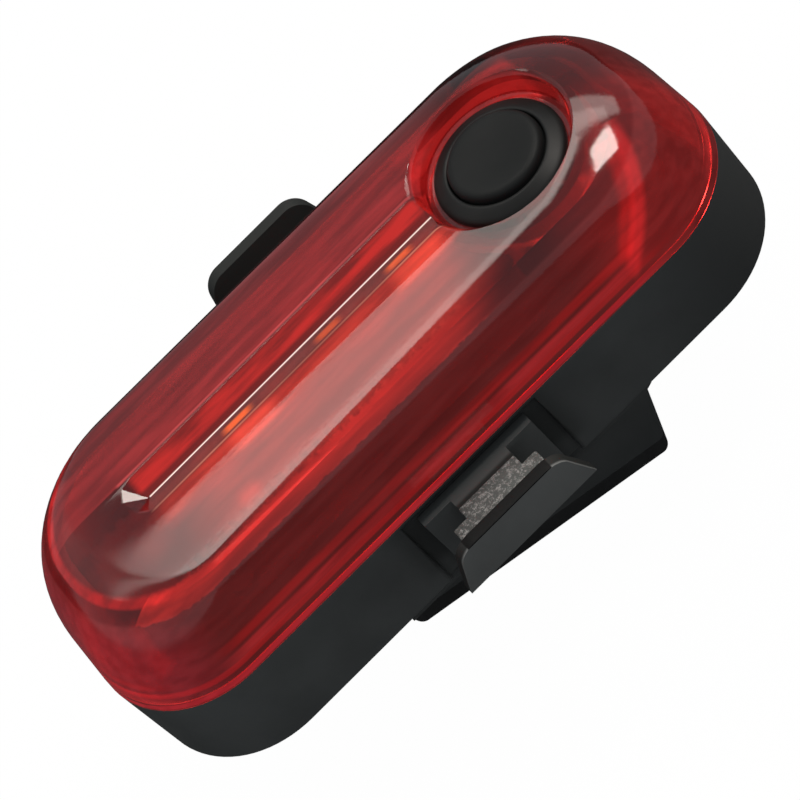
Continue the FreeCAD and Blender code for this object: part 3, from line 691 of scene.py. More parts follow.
# Painted light in the groove: glow on its far side, painted highlights along its valley and both edges,
# and painted glints of the diodes seen through its near side.
GROOVE_PAINTED_LIGHT = (
    Zone((0.40, 0.010, 0.007), GROOVE_RUN, Window(-2.3, -0.75, 0.5), CROWN, 0.9),
    Zone((0.07, 0.003, 0.002), GROOVE_RUN, Window(-2.5, -0.1, 0.1), CROWN),
    Zone((1.0, 0.8, 0.72), Window(-22.6, 13.4, 0.1), Window(-0.09, 0.09, 0.05), CROWN, 0.1),
    Zone((0.27, 0.040, 0.040), Window(-24.2, 13.4, 0.5), Window(-2.90, -2.54, 0.14), CROWN, 0.2),
    Zone((0.34, 0.14, 0.09), GROOVE_RUN, Window(2.5, 2.7, 0.1), CROWN, 0.4),
    Zone((0.75, 0.10, 0.004), Window(-13.5, -10.4, 1.4), NEAR_SPOTS, CROWN, 0.4),
    Zone((0.40, 0.05, 0.003), Window(-1.8, 0.9, 1.4), NEAR_SPOTS, CROWN, 0.4),
    Zone((0.65, 0.08, 0.004), Window(7.2, 10.0, 1.4), NEAR_SPOTS, CROWN, 0.4),
)
# Painted light on the crown: glow beside the groove and over the diodes, glow under the lamps' reflection
# on the -Y half, and a fainter glow on the +Y half.
CROWN_PAINTED_LIGHT = (
    Zone((0.36, 0.024, 0.012), Window(-23, 15, 4), Window(2.8, 5.0, 0.8), CROWN, 0.6),
    Zone((0.38, 0.035, 0.020), Window(-13.6, -8.6, 2.5), NEAR_BAND, CROWN),
    Zone((0.34, 0.030, 0.014), Window(7.0, 12.5, 2.5), NEAR_BAND, CROWN),
    Zone((0.20, 0.008, 0.005), Window(-16.6, -14.4, 1.5), Window(8.2, 9.8, 1.5), CROWN),
    Zone((0.25, 0.016, 0.010), Window(-20, 12, 9), Window(5.0, 10.9, 0.8), CROWN, 0.4, grain=0.5),
    Zone((0.16, 0.010, 0.011), Window(-32, 18, 14), Window(-11.0, -2.7, 0.2), CROWN, 0.5),
    Zone((0.10, 0.006, 0.006), Window(-24, 14, 6), Window(-5.0, -2.7, 0.6), CROWN, 0.3),
)
LENS_PAINTED_LIGHT = WALL_PAINTED_LIGHT + DISH_PAINTED_LIGHT + END_PAINTED_LIGHT + GROOVE_PAINTED_LIGHT + CROWN_PAINTED_LIGHT
LENS_HAZY = Window(-PAST, -27, 7)

# Painted shade: on the case in its side recess on the -Y side and towards the +X end, and on the arms
# behind their lips, darkest on the near lip's top edge and less dark on the stems.
RECESS_SHADE = Zone(
    (0.046, 0.049, 0.048),
    Window(-9.5, 9.5, 4.0),
    Window(12.0, 30.0),
    Window(-8.5, 3.0, 2.0),
)
END_SHADE = Zone((0.040, 0.042, 0.042), Window(24.0, PAST, 16.0))
LIP_SHADE = Zone((0.022, 0.024, 0.023), None, Window(-30.0, 22.95, 0.3), lean=0.278)
STEM_SHADE = Zone((0.075, 0.079, 0.078), None, Window(-15.5, 15.5, 0.5))
EDGE_SHADE = Zone((0.005, 0.0055, 0.0055), None, Window(21.0, 30.0), Window(2.4, 9.0, 0.06))

CASE_PLASTIC = Moulding(
    "case_plastic",
    (0.070, 0.074, 0.073),
    roughness=0.5,
    grain=8.0,
    depth=0.008,
    unevenness=0.08,
    specular=0.2,
    shades=(RECESS_SHADE, END_SHADE),
)
FOOT_PLASTIC = Moulding("foot_plastic", (0.054, 0.057, 0.056), 0.5, 7.0, 0.014, 0.1, 0.2)
ARM_PLASTIC = Moulding(
    "arm_plastic",
    (0.135, 0.141, 0.138),
    roughness=0.6,
    grain=8.0,
    depth=0.012,
    unevenness=0.08,
    specular=0.12,
    shades=(LIP_SHADE, EDGE_SHADE, STEM_SHADE),
)
GRIP_RUBBER = Moulding("grip_rubber", (0.056, 0.066, 0.063), 0.7, 5.0, 0.06, 0.25, dust=0.6)
RING_RUBBER = Moulding("ring_rubber", (0.008, 0.009, 0.009), 0.42, 10.0, 0.006, 0.1, 0.15)
CAP_RUBBER = Moulding("cap_rubber", (0.010, 0.0112, 0.0112), 0.5, 10.0, 0.008, 0.1, 0.1)
SEAL_RUBBER = Moulding("seal_rubber", (0.014, 0.014, 0.014), 0.6, 6.0, 0.02)
COVER_RUBBER = Moulding("cover_rubber", (0.016, 0.017, 0.017), 0.6, 7.0, 0.02)
CHIP_BLACK = Moulding("chip_black", (0.02, 0.02, 0.022), 0.5, 6.0, 0.01)
TRAY_WHITE = Moulding("tray_white", (0.3, 0.28, 0.27), 0.35, 4.0, 0.008, 0.04)
SWITCH_PLASTIC = Moulding("switch_plastic", (0.03, 0.03, 0.032), 0.4, 6.0, 0.01)
PLUNGER_WHITE = Moulding("plunger_white", (0.7, 0.7, 0.68), 0.4, 6.0, 0.01, 0.05)
FOAM_GREY = Moulding("foam_grey", (0.2, 0.2, 0.2), 0.9, 3.0, 0.1)
LED_RESIN = Moulding("led_red", (0.9, 0.12, 0.05), 0.2, 4.0, 0.004, 0.06)
BOARD_GREEN = BoardFace("board_green", (0.03, 0.12, 0.05), (0.06, 0.2, 0.09))
SCREW_STEEL = Plated("screw_steel", (0.05, 0.05, 0.052), 0.38)
NICKEL = Plated("nickel", (0.7, 0.69, 0.66), 0.22)
CELL_FOIL = Plated("cell_foil", (0.66, 0.67, 0.69), 0.35)
HAZE_SHEET = FrostedSheet("haze_plastic", (0.25, 0.2, 0.2), (1.0, 0.28, 0.1), LED_SPOTS, 0.16)
RED_LENS = ClearRed("red_lens", (0.5, 0.018, 0.016), LENS_PAINTED_LIGHT, LENS_HAZY)

Finish = Moulding | ClearRed | FrostedSheet | BoardFace | Plated

NODE_FINISHES: dict[str, Finish] = {
    "seal_ring": SEAL_RUBBER,
    "led_board": BOARD_GREEN,
    "board_screws": SCREW_STEEL,
    "board_parts": CHIP_BLACK,
    "leds": LED_RESIN,
    "reflector": TRAY_WHITE,
    "diffuser": HAZE_SHEET,
    "switch_body": SWITCH_PLASTIC,
    "switch_plunger": PLUNGER_WHITE,
    "battery_pad": FOAM_GREY,
    "battery": CELL_FOIL,
    "battery_tabs": NICKEL,
    "charger_board": BOARD_GREEN,
    "usb_shell": NICKEL,
    "usb_tongue": SWITCH_PLASTIC,
    "link_pins": NICKEL,
    "saddle_pad": SEAL_RUBBER,
}


class Palette:
    """The materials, each built once."""

    def __init__(self) -> None:
        """Start with no material."""
        self._made: dict[str, bpy.types.Material] = {}

    def get(self, finish: Finish) -> bpy.types.Material:
        """The material of a finish.

        Args:
            finish: The finish.

        Returns:
            Its material.
        """
        if finish.name not in self._made:
            self._made[finish.name] = finish.material()
        return self._made[finish.name]


# Mesh work


class Blank:
    """A mesh in millimetres that operators shape."""

    def __init__(self) -> None:
        """Start an empty mesh."""
        self.bm = bmesh.new()

    def stadium(self, half_x: float, half_y: float, corner: float, level: float) -> Loop:
        """Draw the light's rounded outline at a height.

        Args:
            half_x: Half of its length.
            half_y: Half of its width.
            corner: Corner radius.
            level: Height.

        Returns:
            The outline's vertices in order.
        """
        made = bmesh.ops.create_circle(self.bm, segments=4 * CORNER_STEPS, radius=1.0)
        loop = sorted(made["verts"], key=lambda vert: math.atan2(vert.co.y, vert.co.x) % math.tau)
        self.settle(loop, half_x, half_y, corner, level)
        return loop

    @staticmethod
    def plan(index: int, half_x: float, half_y: float, corner: float) -> tuple[float, float]:
        """Place of one vertex of a rounded rectangle.

        Args:
            index: Number of the vertex along the outline.
            half_x: Half of the length.
            half_y: Half of the width.
            corner: Corner radius.

        Returns:
            Its x and y.
        """
        quarter, step = divmod(index, CORNER_STEPS)
        angle = math.pi / 2 * (quarter + step / (CORNER_STEPS - 1))
        side_x = 1 if quarter in (0, 3) else -1
        side_y = 1 if quarter in (0, 1) else -1
        x = side_x * (half_x - corner) + corner * math.cos(angle)
        return x, side_y * (half_y - corner) + corner * math.sin(angle)

    def settle(self, loop: Loop, half_x: float, half_y: float, corner: float, level: float) -> None:
        """Move an outline's vertices onto a rounded rectangle at a height.

        Args:
            loop: The outline.
            half_x: Half of the length.
            half_y: Half of the width.
            corner: Corner radius.
            level: Height.
        """
        for index, vert in enumerate(loop):
            vert.co = (*self.plan(index, half_x, half_y, corner), level)

    def lift(self, loop: Loop, place: Callable[[int], Vector]) -> Loop:
        """Extrude an outline and place each new vertex.

        Args:
            loop: The outline.
            place: Gives a vertex's place from its number.

        Returns:
            The new outline.
        """
        loop = self.raise_loop(loop)
        for index, vert in enumerate(loop):
            vert.co = place(index)
        return loop

    def raise_loop(self, loop: Loop) -> Loop:
        """Extrude an outline.

        Args:
            loop: The outline.

        Returns:
            The new outline, in the same order.
        """
        old = set(loop)
        edges = [self.bm.edges.get(pair) for pair in zip(loop, loop[1:] + loop[:1])]
        made = bmesh.ops.extrude_edge_only(self.bm, edges=edges)["geom"]
        twins = {}
        for vert in (item for item in made if isinstance(item, bmesh.types.BMVert)):
            for edge in vert.link_edges:
                other = edge.other_vert(vert)
                if other in old:
                    twins[other] = vert
        return [twins[vert] for vert in loop]

    def climb(self, loop: Loop, rings: Iterable[tuple[float, float, float, float]]) -> Loop:
        """Extrude an outline through a list of rounded rectangles.

        Args:
            loop: The outline to start from.
            rings: Half length, half width, corner and height of each.

        Returns:
            The last outline.
        """
        for ring in rings:
            loop = self.raise_loop(loop)
            self.settle(loop, *ring)
        return loop

    def cap(self, loop: Loop) -> bmesh.types.BMFace:
        """Close an outline with one face."""
        return self.bm.faces.new(loop)

    def hull(self, points: Sequence[Point]) -> None:
        """Wrap points in their convex hull."""
        verts = [bmesh.ops.create_vert(self.bm, co=point)["vert"][0] for point in points]
        bmesh.ops.convex_hull(self.bm, input=verts)

    def lathe(self, section: Section, steps: int = 96) -> None:
        """Turn a section round the button's axis.

        Args:
            section: Radius and height of its points.
            steps: Steps of the full turn.
        """
        points = [(BUTTON_X + radius, 0.0, height) for radius, height in section]
        verts = [bmesh.ops.create_vert(self.bm, co=point)["vert"][0] for point in points]
        edges = [self.bm.edges.new(pair) for pair in zip(verts, verts[1:])]
        bmesh.ops.spin(
            self.bm,
            geom=verts + edges,
            cent=(BUTTON_X, 0.0, 0.0),
            axis=(0.0, 0.0, 1.0),
            angle=math.tau,
            steps=steps,
            use_merge=True,
        )

    def box(self, low: Point, high: Point) -> None:
        """Add a box.

        Args:
            low: Its lowest corner.
            high: Its highest corner.
        """
        verts = bmesh.ops.create_cube(self.bm, size=1.0)["verts"]
        middle = [(a + b) / 2 for a, b in zip(low, high)]
        spread = [b - a for a, b in zip(low, high)]
        bmesh.ops.scale(self.bm, vec=spread, verts=verts)
        bmesh.ops.translate(self.bm, vec=middle, verts=verts)

    def soften(
        self, edges: list[bmesh.types.BMEdge], width: float, steps: int = ROUND_STEPS
    ) -> None:
        """Bevel edges to a rounded profile.

        Args:
            edges: The edges.
            width: Width of the rounding.
            steps: Its steps.
        """
        bmesh.ops.bevel(
            self.bm,
            geom=edges,
            offset=width,
            offset_type="OFFSET",
            affect="EDGES",
            segments=steps,
            profile=0.5,
            material=-1,
            clamp_overlap=True,
        )

    def sharp_edges(self, chosen: Test | None = None) -> list[bmesh.types.BMEdge]:
        """The edges to round.

        Args:
            chosen: Test that an edge's middle must pass.

        Returns:
            The edges.
        """
        limit = math.radians(ROUNDED_TURN)
        found = []
        for edge in self.bm.edges:
            if len(edge.link_faces) == 2 and edge.calc_face_angle(0.0) > limit:
                middle = (edge.verts[0].co + edge.verts[1].co) / 2
                if chosen is None or chosen(middle):
                    found.append(edge)
        return found

    def tidy(self) -> None:
        """Merge doubles and turn the faces outwards."""
        bmesh.ops.remove_doubles(self.bm, verts=self.bm.verts, dist=MERGED)
        bmesh.ops.recalc_face_normals(self.bm, faces=self.bm.faces)

    def order(self) -> None:
        """Sort vertices, edges and faces by place, because the operators' order varies by run."""
        ranks = (
            (self.bm.verts, lambda vert: tuple(vert.co)),
            (self.bm.edges, lambda edge: sorted(vert.index for vert in edge.verts)),
            (self.bm.faces, lambda face: sorted(vert.index for vert in face.verts)),
        )
        for items, rank in ranks:
            for index, item in enumerate(sorted(items, key=rank)):
                item.index = index
            items.sort()
            items.index_update()

    def thing(self, name: str) -> bpy.types.Object:
        """Make the mesh an object in metres.

        Args:
            name: The object's name.

        Returns:
            The object.
        """
        self.order()
        bmesh.ops.scale(self.bm, vec=(MM, MM, MM), verts=self.bm.verts)
        mesh = bpy.data.meshes.new(name)
        self.bm.to_mesh(mesh)
        self.bm.free()
        made = bpy.data.objects.new(name, mesh)
        bpy.context.scene.collection.objects.link(made)
        return made


def carve(target: bpy.types.Object, tool: bpy.types.Object) -> None:
    """Take a tool's shape away from an object and discard the tool.

    Args:
        target: The object.
        tool: The tool.
    """
    modifier = target.modifiers.new("carve", "BOOLEAN")
    modifier.operation = "DIFFERENCE"
    modifier.solver = "EXACT"
    modifier.object = tool
    depsgraph = bpy.context.evaluated_depsgraph_get()
    mesh = bpy.data.meshes.new_from_object(target.evaluated_get(depsgraph))
    target.modifiers.clear()
    old = target.data
    target.data = mesh
    bpy.data.meshes.remove(old)
    spent = tool.data
    bpy.data.objects.remove(tool)
    bpy.data.meshes.remove(spent)


def smooth(piece: bpy.types.Object, turn: float = CREASED_TURN, flat: Test | None = None) -> None:
    """Shade an object smooth but for its sharp edges.

    Args:
        piece: The object.
        turn: The least turn of a sharp edge.
        flat: A test of a face's middle in millimetres for the faces that stay flat.
    """
    mesh = piece.data
    mesh.polygons.foreach_set("use_smooth", [True] * len(mesh.polygons))
    mesh.set_sharp_from_angle(angle=math.radians(turn))
    if flat:
        for face in mesh.polygons:
            face.use_smooth = not flat(face.center / MM)


class Workshop:
    """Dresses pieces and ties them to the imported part."""

    def __init__(self, frame: dict) -> None:
        """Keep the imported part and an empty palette."""
        self.nodes: dict[str, bpy.types.Object] = frame["nodes"]
        self.palette = Palette()

    def issue(
        self, piece: bpy.types.Object, finish: Finish, rides: Rides, slot: str, *replaced: str
    ) -> None:
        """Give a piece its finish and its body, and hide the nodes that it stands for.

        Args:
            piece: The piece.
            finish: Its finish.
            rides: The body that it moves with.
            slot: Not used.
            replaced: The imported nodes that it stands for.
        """
        piece.data.materials.clear()
        piece.data.materials.append(self.palette.get(finish))
        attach(piece, rides.value)
        if replaced:
            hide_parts(*replaced)
        log.info("%s: %d faces, rides on %s", piece.name, len(piece.data.polygons), rides.value)

    def dress(self, node: str, finish: Finish) -> None:
        """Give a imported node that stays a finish.

        Args:
            node: The node.
            finish: Its finish.
        """
        self.nodes[node].data.materials.clear()
        self.nodes[node].data.materials.append(self.palette.get(finish))
        log.info("%s: packed node, dressed", node)

    def softened(
        self, node: str, name: str, width: float, wide: tuple[Test, float] | None = None
    ) -> bpy.types.Object:
        """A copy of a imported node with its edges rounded.

        Args:
            node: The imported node.
            name: Name of the copy.
            width: Width of the rounding in millimetres.
            wide: A test of an edge's middle and a greater width for the edges that pass it.

        Returns:
            The copy.
        """
        blank = Blank()
        blank.bm.from_mesh(self.nodes[node].data)
        bmesh.ops.scale(blank.bm, vec=(1 / MM, 1 / MM, 1 / MM), verts=blank.bm.verts)
        bmesh.ops.remove_doubles(blank.bm, verts=blank.bm.verts, dist=NODE_MERGED)
        bmesh.ops.dissolve_limit(
            blank.bm,
            angle_limit=math.radians(KEPT_TURN),
            verts=blank.bm.verts,
            edges=blank.bm.edges,
        )
        if wide:
            chosen, wide_width = wide
            blank.soften(blank.sharp_edges(chosen), wide_width, WIDE_STEPS)
        blank.soften(blank.sharp_edges(), width)
        piece = blank.thing(name)
        smooth(piece)
        return piece


# The light's sub-assemblies


@dataclass
class Lens:
    """Hollow red lens with its crown, light groove and button dish.

    The wall climbs along `turn` degrees of an ellipse. The crease between wall and crown is
    rounded, more so from `soft_start` on towards the button. `rim` and `tip` are the dish's lip
    and the groove's far end, as distances from the dish's wall and top and from the groove's start.
    """

    height: float = 11.4
    crown: float = 0.8
    end_inset: float = 5.4
    end_draft: float = 1.2
    side_inset: float = 2.86
    land_corner: float = 11.1
    turn: float = 75.0
    brow_steps: int = 14
    runout: float = 3.6
    crease: float = 0.45
    soft_crease: float = 2.8
    soft_start: float = 19.0
    soft_run: float = 12.0
    soft_reach: float = 1.2 * BODY_LENGTH / 8
    crease_steps: int = 6
    runout_steps: int = 5
    strip_width: float = 0.75
    strip_count: int = 24
    wall: float = 2.4
    skirt_inset: float = 1.6
    skirt_depth: float = 1.2
    cavity_height: float = 9.0
    cavity_end: float = 4.0
    cavity_side: float = 1.9
    groove_half: float = 2.54
    groove_depth: float = 1.2
    groove_start: float = -22.75
    groove_edge: float = 0.16
    groove_rise: float = 1.6
    valley_round: float = 0.12
    facet_dips: tuple[float, float] = (0.05, 1.4)
    crease_turn: float = 24.0
    dish_radius: float = 8.4
    dish_floor_radius: float = 7.5
    dish_depth: float = 2.75
    dish_fillet: float = 0.3
    dish_steps: int = 128
    over_cut: float = 0.4
    boss_radius: float = 8.8
    boss_depth: float = 1.8
    bore: float = 5.6
    rim: Section = (
        (-0.35, -0.75),
        (-0.28, -0.557),
        (-0.16, -0.386),
        (0.01, -0.243),
        (0.26, -0.126),
        (0.61, -0.052),
        (1.11, -0.017),
        (1.11, 0.4),
    )
    tip: Section = (
        (-1.35, 2.23),
        (-2.06, 0.8),
        (-1.67, -1.53),
        (-0.75, -2.4),
    )

    @property
    def top(self) -> float:
        """Height of the crown's middle over the parting plane."""
        return self.height + self.crown

    def ring(
        self, turned: float, wall: float, height: float, end: float, side: float
    ) -> tuple[float, float, float, float]:
        """One ring of the wall, drawn in along a quarter of an ellipse.

        Args:
            turned: Share of the ellipse's angle, 0 at the parting plane.
            wall: Inset of the whole ring.
            height: Height of the last ring.
            end: End inset of the last ring.
            side: Side inset of the last ring.

        Returns:
            Half length, half width, corner and height.
        """
        full = math.radians(self.turn)
        angle = full * turned
        share = (1 - math.cos(angle)) / (1 - math.cos(full))
        climbed = math.sin(angle) / math.sin(full)
        inset = (end - self.end_draft) * share + self.end_draft * climbed
        return (
            BODY_LENGTH / 2 - wall - inset,
            BODY_WIDTH / 2 - wall - side * share,
            END_CORNER - wall + (self.land_corner - END_CORNER) * share,
            PARTING + height * climbed,
        )

    def outer_ring(self, turned: float) -> tuple[float, float, float, float]:
        """One ring of the outer wall."""
        return self.ring(turned, 0.0, self.height, self.end_inset, self.side_inset)

    def softness(self, index: int) -> float:
        """Width of the crease's rounding at a vertex, widest at the button's end.

        Args:
            index: The vertex's number.

        Returns:
            The width.
        """
        x, _ = Blank.plan(index, BODY_LENGTH / 2, BODY_WIDTH / 2, END_CORNER)
        share = min(1.0, max(0.0, (x - self.soft_start) / self.soft_run))
        return self.crease + (self.soft_crease - self.crease) * share * share * (3 - 2 * share)

    def wall_point(self, index: int, turned: float) -> Vector:
        """Point of the outer wall at a vertex's number and a share of the ellipse."""
        *plan, level = self.outer_ring(turned)
        return Vector((*Blank.plan(index, *plan), level))

    def land_point(self, index: int, inward: float) -> Vector:
        """Point of the crown inside the crease.

        Args:
            index: The vertex's number.
            inward: Distance from the crease.

        Returns:
            The point.
        """
        half_x, half_y, corner, level = self.outer_ring(1.0)
        x, y = Blank.plan(index, half_x - inward, half_y - inward, corner - inward)
        rise = self.crown * (1 - (1 - min(1.0, inward / self.runout)) ** 2)
        return Vector((x, y, min(self.crown_level(y), level + rise)))

    def crease_point(self, index: int, share: float) -> Vector:
        """Point of the rounding between wall and crown.

        Args:
            index: The vertex's number.
            share: Share of the way from wall to crown.

        Returns:
            The point.
        """
        soft = self.softness(index)
        low = self.wall_point(index, 1 - soft / self.soft_reach)
        high = self.land_point(index, soft)
        middle = self.wall_point(index, 1.0)
        return (1 - share) ** 2 * low + 2 * share * (1 - share) * middle + share**2 * high

    def crown_level(self, y: float) -> float:
        """Height of the crown at a distance from the middle line."""
        half = BODY_WIDTH / 2 - self.side_inset
        return PARTING + self.top - self.crown * (y / half) ** 2

    def outside(self) -> bpy.types.Object:
        """The solid outside of the lens.

        Returns:
            The solid.
        """
        blank = Blank()
        inset = self.skirt_inset
        low = (BODY_LENGTH / 2 - inset, BODY_WIDTH / 2 - inset, END_CORNER - inset)
        foot = blank.stadium(*low, PARTING - self.skirt_depth)
        blank.cap(foot)
        loop = blank.climb(foot, [(*low, PARTING)])
        for step in range(self.brow_steps):
            loop = blank.lift(loop, lambda i: self.brow_point(i, step / self.brow_steps))
        for step in range(self.crease_steps + 1):
            loop = blank.lift(loop, lambda i: self.crease_point(i, step / self.crease_steps))
        for step in range(1, self.runout_steps + 1):
            loop = blank.lift(loop, lambda i: self.inner_point(i, step / self.runout_steps))
        self.strips(blank, blank.cap(loop))
        blank.tidy()
        return blank.thing("lens_outside")

    def brow_point(self, index: int, share: float) -> Vector:
        """Point of the wall at a share of the way up to the crease's rounding."""
        return self.wall_point(index, share * (1 - self.softness(index) / self.soft_reach))

    def inner_point(self, index: int, share: float) -> Vector:
        """Point of the crown between the crease's rounding and the end of the run-out."""
        soft = self.softness(index)
        return self.land_point(index, soft + (self.runout - soft) * share)

    def strips(self, blank: Blank, face: bmesh.types.BMFace) -> None:
        """Cut the crown into strips along the light and bend it to its arc.

        Args:
            blank: The lens.
            face: The crown's face.
        """
        for vert in face.verts:
            vert.co.z = PARTING + self.height
        faces = [face]
        for step in range(1, self.strip_count):
            spot = (0.0, (step - self.strip_count / 2) * self.strip_width, 0.0)
            geom = list(dict.fromkeys(item for f in faces for item in (f, *f.edges, *f.verts)))
            cut = bmesh.ops.bisect_plane(blank.bm, geom=geom, plane_co=spot, plane_no=(0, 1, 0))
            faces = [item for item in cut["geom"] if isinstance(item, bmesh.types.BMFace)]
        for vert in {v for f in faces for v in f.verts}:
            vert.co.z = self.crown_level(vert.co.y)

    def inside(self) -> bpy.types.Object:
        """The hollow of the lens, less the boss round the button.

        Returns:
            The hollow, as a solid.
        """
        blank = Blank()
        sizes = (self.wall, self.cavity_height, self.cavity_end, self.cavity_side)
        rings = [self.ring(step / self.brow_steps, *sizes) for step in range(self.brow_steps + 1)]
        half_x, half_y, corner, _ = rings[0]
        foot = blank.stadium(half_x, half_y, corner, PARTING - 2 * self.skirt_depth)
        blank.cap(foot)
        blank.cap(blank.climb(foot, rings))
        blank.tidy()
        hollow = blank.thing("lens_inside")
        boss = Blank()
        low = PARTING + self.top - self.dish_depth - self.boss_depth
        high = PARTING + self.top
        boss.lathe(((0, low), (self.boss_radius, low), (self.boss_radius, high), (0, high)))
        boss.tidy()
        carve(hollow, boss.thing("boss"))
        return hollow

    def facet(self, middle: Vector) -> bool:
        """Whether a face of the crown lies in the groove, whose sides and tip are flat.

        Args:
            middle: The face's middle.

        Returns:
            Whether it does.
        """
        least, most = self.facet_dips
        run = middle.x < BUTTON_X - self.dish_radius
        return run and abs(middle.y) < self.groove_half and least < PARTING + self.top - middle.z < most

    def dish(self) -> bpy.types.Object:
        """The tool for the dish and the button's hole.

        Returns:
            The tool.
        """
        top = PARTING + self.top
        floor = top - self.dish_depth
        blank = Blank()
        through = floor - 2 * self.boss_depth
        section = (
            (0, through),
            (self.bore, through),
            (self.bore, floor),
            (self.dish_floor_radius - self.dish_fillet, floor),
            (self.dish_floor_radius, floor + self.dish_fillet),
            *((self.dish_radius + out, top + up) for out, up in self.rim),
            (0, top + self.over_cut),
        )
        blank.lathe(section, self.dish_steps)
        blank.tidy()
        return blank.thing("dish")

    def groove(self, wider: float, depth: float, rounding: float) -> bpy.types.Object:
        """A tool for the V groove with its faceted tip.

        Args:
            wider: Growth of its half width at the crown.
            depth: Depth of its valley under the crown's middle.
            rounding: Width of the valley's rounding.

        Returns:
            The tool.
        """
        bottom = PARTING + self.top - depth
        high = bottom + depth * self.groove_rise
        end = BUTTON_X - self.dish_floor_radius + self.over_cut
        grown = (self.groove_half + wider) / self.groove_half * self.groove_rise
        half = self.groove_half * grown
        points = [(self.groove_start, 0.0, bottom), (end, 0.0, bottom)]
        points += [(x, y, high) for x in (self.groove_start, end) for y in (-half, half)]
        points += [(self.groove_start + x * grown, y * grown, high) for x, y in self.tip]
        blank = Blank()
        blank.hull(points)
        blank.tidy()
        if rounding:
            edges = blank.bm.edges
            valley = [edge for edge in edges if all(v.co.z < bottom + NEAR for v in edge.verts)]
            blank.soften(valley, rounding)
        return blank.thing("groove")

    def build(self, shop: Workshop) -> None:
        """Carve and dress the lens.

        Args:
            shop: Where it is dressed.
        """
        lens = self.outside()
        carve(lens, self.groove(0.0, self.groove_depth, self.valley_round))
        carve(lens, self.groove(self.groove_edge, self.groove_depth / 2, 0.0))
        carve(lens, self.dish())
        carve(lens, self.inside())
        lens.name = "lens_shell"
        smooth(lens, self.crease_turn, self.facet)
        shop.issue(lens, RED_LENS, Rides.LIGHT, "red_lens", "lens")


@dataclass
class Button:
    """Rubber ring in the dish and the cap in it.

    Both are turned from their sections, radius and height over the dish's floor. Each hides a
    flange under the lens. The ring's top slopes outward, and the cap has a rounded shoulder and
    a shallow hollow for the thumb.
    """

    floor: float = PARTING + 9.45
    steps: int = 112
    crease_turn: float = 40.0
    ring_section: Section = (
        (5.0, -2.4),
        (7.2, -2.4),
        (7.2, -1.8),
        (5.6, -1.8),
        (5.6, 0.0),
        (6.75, 0.0),
        (6.8, 0.1),
        (6.8, 0.35),
        (6.74, 0.52),
        (6.58, 0.68),
        (6.3, 0.84),
        (5.9, 1.02),
        (5.5, 1.2),
        (5.32, 1.25),
        (5.14, 1.22),
        (5.03, 1.1),
        (5.0, 0.8),
        (5.0, -2.4),
    )
    cap_section: Section = (
        (0.0, -3.0),
        (5.8, -3.0),
        (5.8, -2.5),
        (4.9, -2.5),
        (4.9, 1.25),
        (4.84, 1.58),
        (4.66, 1.84),
        (4.36, 1.98),
        (4.0, 2.0),
        (3.3, 1.94),
        (2.2, 1.87),
        (1.1, 1.83),
        (0.0, 1.82),
    )

    def turned(self, name: str, section: Section) -> bpy.types.Object:
        """Turn a piece from its section.

        Args:
            name: Its name.
            section: Its section.

        Returns:
            The piece.
        """
        blank = Blank()
        blank.lathe(tuple((radius, self.floor + height) for radius, height in section), self.steps)
        blank.tidy()
        piece = blank.thing(name)
        smooth(piece, self.crease_turn)
        return piece

    def build(self, shop: Workshop) -> None:
        """Turn and dress both pieces.

        Args:
            shop: Where they are dressed.
        """
        ring = self.turned("button_bezel", self.ring_section)
        shop.issue(ring, RING_RUBBER, Rides.LIGHT, "ring_rubber", "button_ring")
        cap = self.turned("button_dome", self.cap_section)
        shop.issue(cap, CAP_RUBBER, Rides.BUTTON, "cap_rubber", "button_cap")


@dataclass
class Case:
    """The dark tub, its port cover and what the bracket brings."""

    rounding: float = 0.14
    cover_round: float = 0.2
    foot_round: float = 0.3
    scoop_half: float = 8.5
    scoop_round: float = 0.8
    plate_end: float = 18.6
    plate_round: float = 2.4

    def scoop_end(self, middle: Vector) -> bool:
        """Whether an edge stands at an end of a side recess, on the case's outer face."""
        outer = abs(abs(middle.y) - BODY_WIDTH / 2) < NEAR
        return outer and abs(abs(middle.x) - self.scoop_half) < NEAR

    def plate_corner(self, middle: Vector) -> bool:
        """Whether an edge stands at a corner of the foot's plate."""
        return abs(abs(middle.x) - self.plate_end) < NEAR and abs(middle.y) > BODY_WIDTH / 4

    def build(self, shop: Workshop) -> None:
        """Soften and dress the outer pieces.

        Args:
            shop: Where they are dressed.
        """
        ends = (self.scoop_end, self.scoop_round)
        tub = shop.softened("rear_case", "case_tub", self.rounding, ends)
        shop.issue(tub, CASE_PLASTIC, Rides.LIGHT, "case_plastic", "rear_case")
        cover = shop.softened("port_cover", "port_flap", self.cover_round)
        shop.issue(cover, COVER_RUBBER, Rides.COVER, "cover_rubber", "port_cover")
        corners = (self.plate_corner, self.plate_round)
        foot = shop.softened("bracket_foot", "wedge_foot", self.foot_round, corners)
        shop.issue(foot, FOOT_PLASTIC, Rides.LIGHT, "foot_plastic", "bracket_foot")


